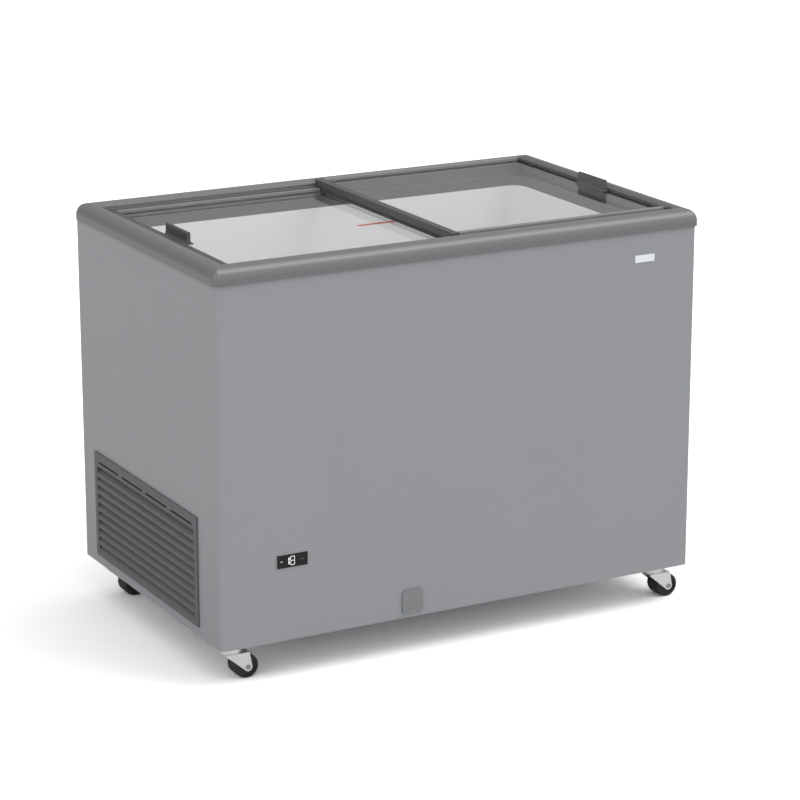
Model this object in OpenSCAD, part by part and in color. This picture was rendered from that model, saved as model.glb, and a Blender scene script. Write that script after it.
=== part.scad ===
// Chest freezer with two sliding glass lids, on four swivel castors.
// The origin is on the floor under the middle of the cabinet: +X is the right end,
// -Y is the front, and +Z is up. All sizes are in millimetres.

/* [Cabinet] */
// Width of the steel cabinet, from end to end
body_w = 1010; // [920:10:1200]
// Depth of the steel cabinet, front to back
body_d = 620; // [580:10:700]
// Height of the cabinet's panels, up to the top frame
panel_h = 680; // [640:2:780]
// Thickness of the outer steel sheet
skin_t = 0.8; // [0.6:0.1:1.2]
// Bend radius of the cabinet's front corners
bend_r = 8; // [4:0.5:10]
// Thickness of the insulated walls, outside to inside
wall_t = 55; // [54:1:64]
// Thickness of the insulated floor
floor_t = 60; // [54:1:80]
// Thickness of the base sheet
base_t = 1.2; // [0.8:0.1:2]

/* [Storage well] */
// Thickness of the white liner
liner_t = 1.5; // [1:0.1:2.5]
// Radius of the liner's upright corners
liner_r = 30; // [16:1:45]
// Height of the grey collar between the liner and the top frame
collar_h = 19; // [14:1:32]
// Thickness of the collar's upright wall
collar_t = 4; // [3:0.5:6]
// Thickness of the collar's flange, which carries the top frame
flange_t = 3; // [2:0.5:5]
// Length of the red load line on the back wall
load_line_l = 98; // [60:2:160]
// Distance of the load line to the right of the cabinet's middle
load_line_x = 124; // [0:2:180]
// Distance of the load line below the collar
load_line_drop = 45; // [20:1:60]

/* [Top frame] */
// Overhang of the top frame beyond the panels
frame_over = 4; // [3:0.5:8]
// Radius of the frame's rounded nose
nose_r = 24; // [21:1:28]
// Height of the frame's upright outer face, below the nose
nose_v = 9; // [6:1:14]
// Width of the flat crest behind the nose
crest_w = 3; // [2:0.5:7]
// Drop from the crest to the frame's inner edge
edge_drop = 7; // [4:0.5:10]
// Width of the sloping band from the crest to the inner edge
slope_w = 11; // [8:1:15]
// Depth of the upper track below the frame's inner edge
edge_lip = 4.5; // [3:0.5:6]
// Width of the upper track
high_w = 10; // [8:0.5:14]
// Depth of the lower track below the upper track
track_step = 18; // [16.5:0.5:20]
// Width of the lower track
low_w = 11; // [9:0.5:14]

/* [Lids] */
// Side clearance between a lid and the frame
lid_gap = 1; // [0.5:0.25:2]
// Running clearance under a lid
slide_gap = 0.3; // [0.2:0.05:0.5]
// Height of the upper lid's frame
upper_h = 13; // [12:0.5:16]
// Height of the lower lid's frame
lower_h = 15.5; // [13:0.5:16]
// Thickness of the lids' glass
glass_t = 4; // [3:0.5:5]
// Depth of the glass below the top of its frame
glass_drop = 5.5; // [4:0.5:7]
// Depth of the slots that hold the glass
glass_seat = 6; // [4:0.5:7]
// Width of a lid's outer end bar
end_w = 17; // [14:1:24]
// Width of a lid's inner end bar, where the lids meet
meet_w = 16; // [12:1:20]
// Distance that each lid passes the middle of the cabinet
meet_over = 10; // [8:1:14]
// Width of the upper lid's front and rear runners
upper_runner_w = 12; // [10:0.5:16]
// Width of the lower lid's front and rear runners
lower_runner_w = 9; // [8:0.5:10]
// Length of a lid's handle
handle_l = 96; // [70:2:140]
// Distance of the upper lid's handle in front of the middle
upper_handle_y = 36; // [0:2:80]
// Height of a handle above the glass
handle_h = 24; // [18:1:30]
// Thickness of a handle's fin
fin_t = 7; // [5:0.5:9]
// Width of a handle's foot
foot_w = 20; // [16:1:26]

/* [Machine bay] */
// Width of the machine bay at the left end
bay_w = 234; // [220:2:260]
// Height of the machine bay above the cabinet's lower edge
bay_h = 250; // [240:2:280]
// Thickness of the bay's inner sheet
bay_t = 1; // [0.8:0.1:1.5]
// Thickness of the foam between the bay and the storage well
bay_foam = 42; // [34:1:56]
// Width of the side grille
grille_w = 472; // [420:4:520]
// Height of the side grille
grille_h = 212; // [204:2:230]
// Height of the grille's lower edge above the cabinet's lower edge
grille_z = 19; // [14:1:26]
// Offset of the grille towards the rear
grille_y = 16; // [0:1:26]
// Number of louvre slots
slots_n = 10; // [7:1:10]
// Pitch of the louvre slots
slot_pitch = 17.5; // [15:0.1:18]
// Height of a louvre slot
slot_h = 9; // [6:0.5:10]
// Width of the grille's end borders
border_w = 13; // [10:1:24]
// Radius of the compressor's shell
comp_r = 76; // [66:1:80]
// Height of the compressor's shell
comp_h = 165; // [140:1:180]
// Diameter of the condenser fan
fan_d = 150; // [120:2:164]

/* [Fittings] */
// Width of the display
display_w = 64; // [56:1:80]
// Height of the display
display_h = 27; // [24:1:34]
// Distance of the display's middle from the cabinet's left end
display_x = 145; // [130:1:170]
// Height of the display's middle above the cabinet's lower edge
display_z = 153; // [140:1:180]
// Width of the drain cap
cap_w = 43; // [38:1:50]
// Height of the drain cap
cap_h = 47; // [40:1:52]
// Distance of the drain to the left of the middle
drain_x = 111; // [60:1:150]
// Height of the drain's axis above the cabinet's lower edge
drain_z = 31.5; // [28:0.5:34]
// Bore radius of the drain pipe
drain_r = 10; // [8:0.5:11]
// Wall of the drain pipe
drain_wall = 2; // [1.5:0.5:3]
// Distance of the drain plug from the liner's front wall
plug_y = 90; // [50:5:150]
// Width of the blank badge plate
badge_w = 43; // [36:1:60]
// Height of the blank badge plate
badge_h = 14; // [10:1:20]

/* [Castors] */
// Height of the castors, from the floor to the cabinet's lower edge
castor_h = 75; // [70:1:95]
// Radius of a castor wheel
wheel_r = 23; // [20:0.5:25]
// Width of a castor wheel
wheel_w = 40; // [26:1:42]
// Distance of a wheel's axle behind its swivel axis
trail = 25; // [20:0.5:27]
// Distance of the swivel axes from the cabinet's ends
castor_in_x = 45; // [45:1:70]
// Distance of the swivel axes from the cabinet's front and rear
castor_in_y = 57; // [50:1:80]
// Radius of a wheel's axle
axle_r = 4; // [3:0.5:5]
// Width of a castor's top plate
plate_w = 64; // [60:1:72]
// Thickness of the fork's sheet
fork_t = 2.5; // [2:0.1:3.5]

/* [Hidden] */
$fn = 48;
// Running clearance of a shaft in its bore, all round
fit = 0.05;
// Clearance between curved faces that don't carry each other
near = 0.3;
// Overshoot of a cutting solid past the face that it opens
cut = 1;

// Heights of the cabinet's lower edge, of the frame's underside and of the liner's top
z_low = castor_h;
z_top = z_low + panel_h;
z_liner = z_top - collar_h;
half_w = body_w / 2;
half_d = body_d / 2;

// The storage well: inner faces of the liner, its floor, and the step over the bay
well_x = half_w - wall_t;
well_y = half_d - wall_t;
well_z = z_low + floor_t;
bay_x = -half_w + skin_t + bay_w;
bay_z = z_low + bay_h;
step_x = bay_x + bay_foam;
step_z = bay_z + bay_foam;
load_line_w = 3;

// The top frame's section: distances inward from its outer face, heights above its underside
corner_r = bend_r + frame_over;
crest_v = nose_v + nose_r;
edge_u = nose_r + crest_w + slope_w;
edge_v = crest_v - edge_drop;
high_u = edge_u + high_w;
high_v = edge_v - edge_lip;
low_u = high_u + low_w;
low_v = high_v - track_step;
frame_x = half_w + frame_over;
frame_y = half_d + frame_over;
// The channel under the frame takes the panels' upper edge
hook_gap = 0.3;
hook_h = 6;
channel_u = frame_over - hook_gap;
edge_wall = 4;
channel_w = edge_u - edge_wall - channel_u;
channel_h = 13;

// The lids: where their frames end, and their heights
upper_x = frame_x - edge_u - lid_gap;
upper_y = frame_y - edge_u - lid_gap;
upper_z = z_top + high_v + slide_gap;
lower_x = frame_x - high_u - lid_gap;
lower_y = frame_y - high_u - lid_gap;
lower_z = z_top + low_v + slide_gap;
upper_glass_z = upper_z + upper_h - glass_drop;
lower_glass_z = lower_z + lower_h - glass_drop;
seal_t = 3;

// The grille's place on the left end
grille_mid_z = z_low + grille_z + grille_h / 2;
grille_proud = 3;
grille_in = 5;
lip_w = 9;
thin_n = 4;
thin_h = 4;
foot_band = 9;
blade_lean = 60;
thin_above = 7.5;
thin_in = 8;
field_z = foot_band + slots_n * slot_pitch;

// The machinery in the bay
comp_x = bay_x - 38 - comp_r;
comp_y = half_d - 160;
// Height of the compressor's ports, and how far its tubes run straight out of them
port_h = 60;
discharge_reach = 40;
suction_reach = 17;
comp_foot_z = z_low + base_t;
grommet_h = 12;
comp_z = comp_foot_z + grommet_h;
foot_plate_t = 3;
cond_t = 45;
cond_w = 200;
cond_h = 200;
cond_x = -half_w + skin_t + grille_in + 5;
cond_y = -115;
cond_z = z_low + base_t;
fin_n = 26;
fan_x = cond_x + cond_t;
fan_z = cond_z + cond_h / 2;
shroud_t = 1.5;
blade_n = 5;
hub_r = 22;
hub_l = 16;
motor_r = 28;
motor_l = 42;
shaft_r = 3;
tube_r = 4;
capillary_r = 1.5;
drier_r = 10;
drier_l = 60;
row_x = [cond_x + cond_t * 3 / 4, cond_x + cond_t / 4];
row_n = 6;
row_z = 20;
row_pitch = 32;
tube_x = row_x[0];
cond_end_y = cond_y + cond_w / 2 + 5;
// The fan's blade wheel starts a little behind the shroud
blade_x = fan_x + shroud_t + 4;
motor_x = blade_x + hub_l + 3;

// The evaporator is a flattened tube wound round the liner, in grooves of the foam
coil_w = 9;
coil_t = 6;
coil_in = liner_t + near;
coil_out = coil_in + coil_t;
riser_y = 12;
groove = coil_out + 0.5;
low_turns = 2;
high_turns = 4;
coil_low_z = well_z + 50;
coil_high_z = step_z + 50;
coil_low_pitch = (step_z - 50 - coil_low_z) / (low_turns - 1);
coil_high_pitch = (z_liner - 50 - coil_high_z) / (high_turns - 1);
coil_levels = concat([for (i = [0 : low_turns - 1]) coil_low_z + i * coil_low_pitch],
    [for (i = [0 : high_turns - 1]) coil_high_z + i * coil_high_pitch]);
probe_r = 3;
probe_y = [-60, -20];
probe_z = coil_high_z + coil_high_pitch / 2;

// The drain
pipe_r = drain_r + drain_wall;
drain_y = -well_y + plug_y;
plug_flange_t = 4;
drain_axis_z = z_low + drain_z;
cap_t = 3;
cap_r = 7;

// The display and its control box
display_mid_x = -half_w + display_x;
display_mid_z = z_low + display_z;
bezel_t = 1.5;
bezel_w = 2;
box_d = 24;
box_t = 1.2;
window_t = 0.8;
digit_h = 13;
digit_w = 6;
segment_t = 1.6;
digit_t = 0.3;
digit_x = -4;

// The badge plate, below the top frame at the right
badge_x = half_w - 116;
badge_z = z_top - 50;
badge_t = 1;

// The castors: swivel axes, and heights of their pieces
castor_xs = [-half_w + castor_in_x, half_w - castor_in_x];
castor_ys = [-half_d + castor_in_y, half_d - castor_in_y];
plate_t = 3;
plate_d = plate_w - 8;
race_r = 20;
pin_r = 5;
pin_head_r = 8;
crown_z = wheel_r * 2 + 6;
crown_top = crown_z + 9.7;
leg_tip_r = 8;
leg_back = 18;
leg_front = 28;
leg_in = wheel_w / 2 + 1.5;
bolt_r = 3;
bolt_in = 8;
nut_h = 5;
nut_r = 5.5;
gland_x = bay_x - 160;
gland_z = z_low + 40;
gland_r = 13;

// Shared shapes

// A box given by its lowest and highest corners
module block(low, high) {
    translate(low) cube(high - low);
}

// An upright rectangle outline with four round corners
module round_rect(x0, x1, y0, y1, r) {
    translate([x0 + r, y0]) square([x1 - x0 - 2 * r, y1 - y0]);
    translate([x0, y0 + r]) square([x1 - x0, y1 - y0 - 2 * r]);
    for (x = [x0 + r, x1 - r], y = [y0 + r, y1 - r]) translate([x, y]) circle(r);
}

// The cabinet's outline, bent round at the front and square at the rear
module cabinet_outline(inset, back_y) {
    r = bend_r - inset;
    x = half_w - inset;
    y = -half_d + inset;
    translate([-x, y + r]) square([2 * x, back_y - y - r]);
    translate([-x + r, y]) square([2 * (x - r), back_y - y]);
    for (side = [-1, 1]) translate([side * (x - r), y + r]) circle(r);
}

// A round bar between two points
module rod(a, b, r) {
    d = b - a;
    l = norm(d);
    translate(a) rotate([0, acos(d[2] / l), atan2(d[1], d[0])]) cylinder(h = l, r = r);
}

// A tube along straight runs, with round elbows
module pipe_run(points, r) {
    for (i = [0 : len(points) - 2]) rod(points[i], points[i + 1], r);
    for (i = [1 : len(points) - 2]) translate(points[i]) sphere(r);
}

// The liner's outline seen from above, grown by a margin, from its left wall to the right one
module liner_outline(left, margin) {
    y = well_y + margin;
    round_rect(left - margin, well_x + margin, -y, y, liner_r + margin);
}

// The liner's hollow, grown by a margin: the deep part and the part over the bay
module well(margin, top_z) {
    translate([0, 0, well_z - margin + liner_t]) linear_extrude(top_z - well_z + margin - liner_t)
        liner_outline(step_x, margin);
    translate([0, 0, step_z - margin + liner_t]) linear_extrude(top_z - step_z + margin - liner_t)
        liner_outline(-well_x, margin);
}

// Cabinet

// The front and the two ends are one bent sheet, seen from above
module sheet_outline(back_y) {
    difference() {
        cabinet_outline(0, back_y);
        cabinet_outline(skin_t, back_y + cut);
    }
}

module outer_shell() {
    color("#939598") difference() {
        union() {
            translate([0, 0, z_low]) linear_extrude(panel_h) sheet_outline(half_d);
            // The upper edge stands in the top frame's channel
            translate([0, 0, z_top - cut]) linear_extrude(hook_h + cut) sheet_outline(half_d - corner_r);
        }
        grille_opening(-half_w - cut, -half_w + bend_r, 0);
        display_block(bezel_w, -half_d - cut, -half_d + bend_r);
        translate([-drain_x, -half_d - cut, drain_axis_z]) rotate([-90, 0, 0])
            cylinder(h = bend_r + cut, r = pipe_r + near);
    }
}

// The opening behind the grille, shrunk by a gap
module grille_opening(x0, x1, gap) {
    w = grille_w / 2 - lip_w - gap;
    h = grille_h / 2 - lip_w - gap;
    block([x0, grille_y - w, grille_mid_z - h], [x1, grille_y + w, grille_mid_z + h]);
}

module rear_panel() {
    x = half_w - skin_t;
    color("#8c8e91") difference() {
        union() {
            block([-x, half_d - skin_t, z_low], [x, half_d, z_top]);
            block([-half_w + corner_r, half_d - skin_t, z_top - cut],
                [half_w - corner_r, half_d, z_top + hook_h]);
        }
        translate([gland_x, half_d - bend_r, gland_z]) rotate([-90, 0, 0])
            cylinder(h = bend_r + cut, r = gland_r - 3);
    }
}

module base_pan() {
    color("#9a9c9e") difference() {
        translate([0, 0, z_low]) linear_extrude(base_t) cabinet_outline(skin_t, half_d - skin_t);
        castor_holes(z_low - cut, z_low + base_t + cut);
        // Air slots under the machine bay
        for (i = [0 : 7])
            block([bay_x - 150, -40 + i * 12, z_low - cut],
                [bay_x - 60, -35 + i * 12, z_low + base_t + cut]);
    }
}

// Clearance holes for the castors' bolts
module castor_holes(z0, z1) {
    for (p = bolt_places()) translate([p[0], p[1], z0]) cylinder(h = z1 - z0, r = bolt_r + fit);
}

function bolt_places() = [for (cx = castor_xs, cy = castor_ys, sx = [-1, 1], sy = [-1, 1])
    [cx + sx * (plate_w / 2 - bolt_in), cy + sy * (plate_d / 2 - bolt_in)]];

module foam() {
    color("#e8dfb8") difference() {
        translate([0, 0, z_low + base_t]) linear_extrude(panel_h - base_t - flange_t)
            cabinet_outline(skin_t, half_d - skin_t);
        // Machine bay
        block([-half_w, -half_d, z_low], [bay_x, half_d, bay_z]);
        well(liner_t, z_top);
        // Seat of the collar's upright wall
        translate([0, 0, z_liner]) linear_extrude(collar_h)
            collar_outline();
        // Grooves of the evaporator tube, and the room of its risers at the right end
        for (z = coil_levels) block([ring_left(z) - groove, -well_y - groove, z - coil_w / 2 - 0.5],
            [well_x + groove, well_y + groove, z + coil_w / 2 + 0.5]);
        block([well_x, -riser_y - coil_w - 1, coil_low_z],
            [well_x + groove, riser_y + coil_w + 1, z_liner - 50]);
        // Pocket of the temperature probe
        block([-well_x - liner_t - 2 * probe_r - 1, probe_y[0] - 0.5, probe_z - probe_r - 0.5],
            [-well_x, probe_y[1] + 0.5, probe_z + probe_r + 0.5]);
        // Drain pipe
        rod([-drain_x, drain_y, drain_axis_z], [-drain_x, drain_y, well_z + cut], pipe_r);
        rod([-drain_x, drain_y, drain_axis_z], [-drain_x, -half_d, drain_axis_z], pipe_r);
        translate([-drain_x, drain_y, drain_axis_z]) sphere(pipe_r);
        // Room for the castors' nuts
        for (x = castor_xs, y = castor_ys)
            block([x - plate_w / 2, y - plate_d / 2, z_low],
                [x + plate_w / 2, y + plate_d / 2, z_low + base_t + nut_h + 2]);
    }
}

module liner() {
    color("#dfe0df") difference() {
        well(liner_t, z_liner);
        well(0, z_liner + cut);
        translate([-drain_x, drain_y, well_z - cut]) cylinder(h = liner_t + 2 * cut, r = drain_r + near);
    }
}

// Outside of the collar's upright wall
module collar_outline() {
    x = well_x + collar_t;
    y = well_y + collar_t;
    round_rect(-x, x, -y, y, liner_r + collar_t);
}

module collar() {
    color("#757577") difference() {
        union() {
            translate([0, 0, z_liner]) linear_extrude(collar_h) collar_outline();
            translate([0, 0, z_top - flange_t]) linear_extrude(flange_t)
                cabinet_outline(skin_t, half_d - skin_t);
        }
        translate([0, 0, z_liner - cut]) linear_extrude(collar_h + 2 * cut)
            round_rect(-well_x, well_x, -well_y, well_y, liner_r);
    }
}

// The top frame's section: x is the distance inward, y the height above its underside
module frame_section() {
    difference() {
        union() {
            square([nose_r, nose_v]);
            intersection() {
                translate([nose_r, nose_v]) circle(nose_r);
                translate([0, nose_v]) square(nose_r);
            }
            polygon([[nose_r, 0], [nose_r, crest_v], [nose_r + crest_w, crest_v], [edge_u, edge_v],
                [edge_u, high_v], [high_u, high_v], [high_u, low_v], [low_u, low_v], [low_u, 0]]);
        }
        translate([channel_u, -cut]) square([channel_w, channel_h + cut]);
    }
}

// One straight rail, with its outer face at -reach and mitred inner part
module frame_rail(length, reach) {
    inner = low_u + cut;
    translate([-length / 2 + corner_r, -reach, 0]) rotate([90, 0, 90])
        linear_extrude(length - 2 * corner_r) intersection() {
            frame_section();
            translate([0, -cut]) square([corner_r, crest_v + 2 * cut]);
        }
    intersection() {
        translate([-length / 2, -reach, 0]) rotate([90, 0, 90]) linear_extrude(length)
            difference() {
                frame_section();
                translate([-cut, -cut]) square([corner_r + cut, crest_v + 2 * cut]);
            }
        translate([0, 0, -cut]) linear_extrude(crest_v + 2 * cut)
            polygon([[-length / 2, -reach], [length / 2, -reach],
                [length / 2 - inner, -reach + inner], [-length / 2 + inner, -reach + inner]]);
    }
}

// One rounded corner of the frame's outer part
module frame_corner() {
    intersection() {
        rotate_extrude() intersection() {
            translate([corner_r, 0]) mirror([1, 0]) frame_section();
            translate([0, -cut]) square([corner_r, crest_v + 2 * cut]);
        }
        block([-corner_r - cut, -corner_r - cut, -cut], [0, 0, crest_v + cut]);
    }
}

module top_frame() {
    color("#8a8c8e") translate([0, 0, z_top]) {
        for (turn = [0, 180]) rotate([0, 0, turn]) frame_rail(2 * frame_x, frame_y);
        for (turn = [90, 270]) rotate([0, 0, turn]) frame_rail(2 * frame_y, frame_x);
        for (side = [0, 180]) rotate([0, 0, side]) {
            translate([-frame_x + corner_r, -frame_y + corner_r, 0]) frame_corner();
            translate([frame_x - corner_r, -frame_y + corner_r, 0]) rotate([0, 0, 90]) frame_corner();
        }
    }
}

module load_line() {
    x0 = load_line_x - load_line_l / 2;
    z = z_liner - load_line_drop;
    color("#d8402f") block([x0, well_y - near, z - load_line_w], [x0 + load_line_l, well_y, z]);
}

module badge_plate() {
    color("#e4e8ea") block([badge_x - badge_w / 2, -half_d - badge_t, badge_z - badge_h / 2],
        [badge_x + badge_w / 2, -half_d, badge_z + badge_h / 2]);
}

// Machine bay

module bay_housing() {
    color("#b4b6b8") difference() {
        translate([0, 0, z_low + base_t]) linear_extrude(bay_h - base_t) intersection() {
            cabinet_outline(skin_t, half_d - skin_t);
            translate([-half_w, -half_d]) square([bay_x + half_w, body_d]);
        }
        block([-half_w, -half_d, z_low], [bay_x - bay_t, half_d, bay_z - bay_t]);
    }
}

module side_grille() {
    x0 = -half_w - grille_proud;
    x1 = -half_w + grille_in;
    y0 = grille_y - grille_w / 2;
    y1 = grille_y + grille_w / 2;
    z0 = grille_mid_z - grille_h / 2;
    field_y = [y0 + border_w, y1 - border_w];
    thin_pitch = (field_y[1] - field_y[0]) / thin_n;
    thin_z = z0 + field_z + thin_above;
    blade_t = (slot_pitch - slot_h) * cos(blade_lean);
    color("#626366") {
        difference() {
            union() {
                block([x0, y0, z0], [-half_w, y1, z0 + grille_h]);
                grille_opening(-half_w, x1, near);
            }
            // The field behind the louvres is open
            block([x0 - cut, field_y[0], z0 + foot_band], [x1 + cut, field_y[1], z0 + field_z]);
            // A row of thin slots above the louvres
            for (i = [0 : thin_n - 1]) let (y = field_y[0] + i * thin_pitch)
                block([x0 - cut, y + thin_in, thin_z], [x1 + cut, y + thin_pitch - thin_in, thin_z + thin_h]);
        }
        // Louvre blades lean outward and down
        intersection() {
            block([x0, field_y[0] - cut, z0 + foot_band - cut], [x1, field_y[1] + cut, z0 + field_z + cut]);
            for (i = [0 : slots_n])
                translate([x0, field_y[0] - cut, z0 + foot_band + i * slot_pitch]) rotate([0, -blade_lean, 0])
                    translate([-slot_pitch, 0, -blade_t / 2])
                    cube([3 * slot_pitch, field_y[1] - field_y[0] + 2 * cut, blade_t]);
        }
    }
}

module compressor() {
    shoulder = 30;
    color("#26282a") {
        translate([comp_x, comp_y, comp_z + foot_plate_t]) rotate_extrude() {
            square([comp_r, comp_h - shoulder]);
            intersection() {
                translate([comp_r - shoulder, comp_h - shoulder]) circle(shoulder);
                square([comp_r, comp_h]);
            }
            square([comp_r - shoulder, comp_h]);
        }
        // Weld flange between the two halves of the shell
        translate([comp_x, comp_y, comp_z + foot_plate_t + comp_h * 0.55])
            cylinder(h = 5, r = comp_r + 4);
        // Foot plate on the grommets
        difference() {
            block([comp_x - comp_r - 4, comp_y - comp_r, comp_z],
                [comp_x + comp_r + 4, comp_y + comp_r, comp_z + foot_plate_t]);
            for (p = grommet_places()) translate([p[0], p[1], comp_z - cut])
                cylinder(h = foot_plate_t + 2 * cut, r = 6 + fit);
        }
    }
}

function grommet_places() = [for (x = [-1, 1], y = [-1, 1])
    [comp_x + x * (comp_r - 8), comp_y + y * (comp_r - 10)]];

module compressor_grommets() {
    color("#151515") for (p = grommet_places()) translate([p[0], p[1], comp_foot_z]) {
        cylinder(h = grommet_h, r = 11);
        cylinder(h = grommet_h + foot_plate_t, r = 6);
    }
}

module start_relay() {
    y = comp_y + comp_r + 4 + near;
    z = comp_z + comp_h / 2;
    color("#d8d8d2") block([comp_x - 20, y, z], [comp_x + 20, y + 20, z + 50]);
}

function row_level(i) = cond_z + row_z + i * row_pitch;

module condenser() {
    y0 = cond_y - cond_w / 2;
    pitch = (cond_w - 2) / (fin_n - 1);
    levels = [for (i = [0 : row_n - 1]) row_level(i)];
    color("#b9bcbf") {
        for (i = [0 : fin_n - 1]) let (y = y0 + i * pitch)
            block([cond_x, y, cond_z], [cond_x + cond_t, y + 1, cond_z + cond_h]);
        for (x = row_x, z = levels) rod([x, y0 - 6, z], [x, cond_end_y, z], tube_r);
        // Returns join the two rows at one end, and neighbouring levels in turn at the other
        for (z = levels) rod([row_x[1] - tube_r, y0 - 6, z], [row_x[0] + tube_r, y0 - 6, z], tube_r);
        for (i = [0 : row_n - 2]) let (x = row_x[(i + 1) % 2])
            rod([x, cond_end_y, levels[i] - tube_r], [x, cond_end_y, levels[i + 1] + tube_r], tube_r);
    }
}

module fan_shroud() {
    y = cond_w / 2;
    color("#8f9193") difference() {
        block([fan_x, cond_y - y, cond_z], [fan_x + shroud_t, cond_y + y, cond_z + cond_h]);
        translate([fan_x - cut, cond_y, fan_z]) rotate([0, 90, 0])
            cylinder(h = shroud_t + 2 * cut, d = fan_d + 16);
    }
}

module fan_motor() {
    arm = fan_d / 2 + 14;
    x = motor_x + motor_l / 2;
    color("#3a3c3e") {
        translate([motor_x, cond_y, fan_z]) rotate([0, 90, 0]) cylinder(h = motor_l, r = motor_r);
        // Shaft
        translate([blade_x - 2, cond_y, fan_z]) rotate([0, 90, 0]) cylinder(h = hub_l + 6, r = shaft_r);
        // Bracket arms, up and down, and back to the shroud
        block([x - 1, cond_y - 7, fan_z + motor_r - 3], [x + 1, cond_y + 7, fan_z + arm]);
        block([fan_x + shroud_t, cond_y - 7, fan_z + arm - 2], [x + 1, cond_y + 7, fan_z + arm]);
        block([x - 1, cond_y - 7, fan_z - arm], [x + 1, cond_y + 7, fan_z - motor_r + 3]);
        block([fan_x + shroud_t, cond_y - 7, fan_z - arm], [x + 1, cond_y + 7, fan_z - arm + 2]);
    }
}

module fan_blade() {
    color("#1d1f21") translate([blade_x, cond_y, fan_z]) rotate([0, 90, 0]) difference() {
        union() {
            cylinder(h = hub_l, r = hub_r);
            intersection() {
                cylinder(h = hub_l, d = fan_d);
                for (i = [0 : blade_n - 1]) rotate([0, 0, i * 360 / blade_n])
                    translate([hub_r - 3, 0, hub_l / 2]) rotate([32, 0, 0]) translate([0, -24, -0.9])
                    cube([fan_d / 2, 48, 1.8]);
            }
        }
        translate([0, 0, -cut]) cylinder(h = hub_l + 2 * cut, r = shaft_r + fit);
    }
}

module discharge_tube() {
    y0 = comp_y - comp_r - near;
    y_up = y0 - discharge_reach;
    y1 = cond_end_y;
    z = comp_z + port_h;
    top = bay_z - 34;
    exit_z = row_level(row_n - 1);
    color("#b06a3c") pipe_run([[comp_x, y0, z], [comp_x, y_up, z], [comp_x, y_up, top],
        [tube_x, y_up, top], [tube_x, y_up, exit_z], [tube_x, y1, exit_z]], tube_r);
}

module suction_tube() {
    x0 = comp_x + comp_r + near;
    x_up = x0 + suction_reach;
    z = comp_z + port_h;
    color("#b06a3c") pipe_run([[x0, comp_y, z], [x_up, comp_y, z], [x_up, comp_y, bay_z - 26],
        [bay_x - bay_t, comp_y, bay_z - 26]], tube_r);
}

module filter_drier() {
    y0 = cond_end_y;
    z = row_level(0);
    color("#b5793f") {
        rod([tube_x, y0, z], [tube_x, y0 + 12, z], tube_r);
        rod([tube_x, y0 + 12, z], [tube_x, y0 + 12 + drier_l, z], drier_r);
    }
}

module capillary_tube() {
    y0 = cond_end_y + 12 + drier_l;
    y1 = comp_y + comp_r + 44;
    z = row_level(0);
    x = cond_x + 8;
    color("#c07a48") pipe_run([[tube_x, y0, z], [tube_x, y0 + 8, z], [x, y0 + 8, z], [x, y1, z],
        [bay_x - bay_t, y1, z]], capillary_r);
}

// The liner's left wall at a height: over the bay the well is longer
function ring_left(z) = z > step_z ? -well_x : step_x;

// One level turn round the liner, open in the middle of the right end
module coil_turn(z) {
    translate([0, 0, z - coil_w / 2]) linear_extrude(coil_w) difference() {
        liner_outline(ring_left(z), coil_out);
        liner_outline(ring_left(z), coil_in);
        translate([well_x, -riser_y]) square([2 * coil_out, 2 * riser_y]);
    }
}

// Turns run to and fro: the risers between them stand at alternate sides of the opening
module coil_riser(i) {
    y = i % 2 == 0 ? riser_y : -riser_y - coil_w;
    block([well_x + coil_in, y, coil_levels[i] - coil_w / 2],
        [well_x + coil_out, y + coil_w, coil_levels[i + 1] + coil_w / 2]);
}

module evaporator_coil() {
    color("#b06a3c") {
        for (z = coil_levels) coil_turn(z);
        for (i = [0 : len(coil_levels) - 2]) coil_riser(i);
    }
}

module temperature_probe() {
    x = -well_x - liner_t - near - probe_r;
    color("#c8ccd0") rod([x, probe_y[0], probe_z], [x, probe_y[1], probe_z], probe_r);
}

// Drain

module drain_pipe() {
    color("#d9d9d6") difference() {
        union() {
            rod([-drain_x, drain_y, drain_axis_z], [-drain_x, drain_y, well_z], pipe_r);
            rod([-drain_x, drain_y, drain_axis_z], [-drain_x, -half_d, drain_axis_z], pipe_r);
            translate([-drain_x, drain_y, drain_axis_z]) sphere(pipe_r);
        }
        rod([-drain_x, drain_y, drain_axis_z], [-drain_x, drain_y, well_z + cut], drain_r);
        rod([-drain_x, drain_y, drain_axis_z], [-drain_x, -half_d - cut, drain_axis_z], drain_r);
        translate([-drain_x, drain_y, drain_axis_z]) sphere(drain_r);
    }
}

module drain_plug() {
    z = well_z + liner_t;
    color("#3c3c3c") translate([-drain_x, drain_y, z + slide_gap]) {
        cylinder(h = plug_flange_t, r = drain_r + 7);
        translate([0, 0, -8]) cylinder(h = 8 + cut, r = drain_r - near);
        // Finger tab on the plug
        block([-9, -1.5, plug_flange_t - cut], [9, 1.5, plug_flange_t + 9]);
    }
}

module drain_cap() {
    y0 = -half_d - slide_gap;
    color("#7b7d7f") {
        difference() {
            translate([-drain_x, y0, drain_axis_z]) rotate([90, 0, 0]) linear_extrude(cap_t)
                round_rect(-cap_w / 2, cap_w / 2, -cap_h / 2, cap_h / 2, cap_r);
            // Finger groove along the lower edge
            block([-drain_x - cap_w / 2 + 9, y0 - cap_t - cut, drain_axis_z - cap_h / 2 + 7],
                [-drain_x + cap_w / 2 - 9, y0 - cap_t + 1.2, drain_axis_z - cap_h / 2 + 10]);
        }
        translate([-drain_x, y0 - cut, drain_axis_z]) rotate([-90, 0, 0])
            cylinder(h = 16 + cut, r = drain_r - near);
    }
}

// Display

// A block behind the display's front, smaller than its outline by an inset
module display_block(inset, y0, y1) {
    w = display_w / 2 - inset;
    h = display_h / 2 - inset;
    block([display_mid_x - w, y0, display_mid_z - h], [display_mid_x + w, y1, display_mid_z + h]);
}

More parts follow.
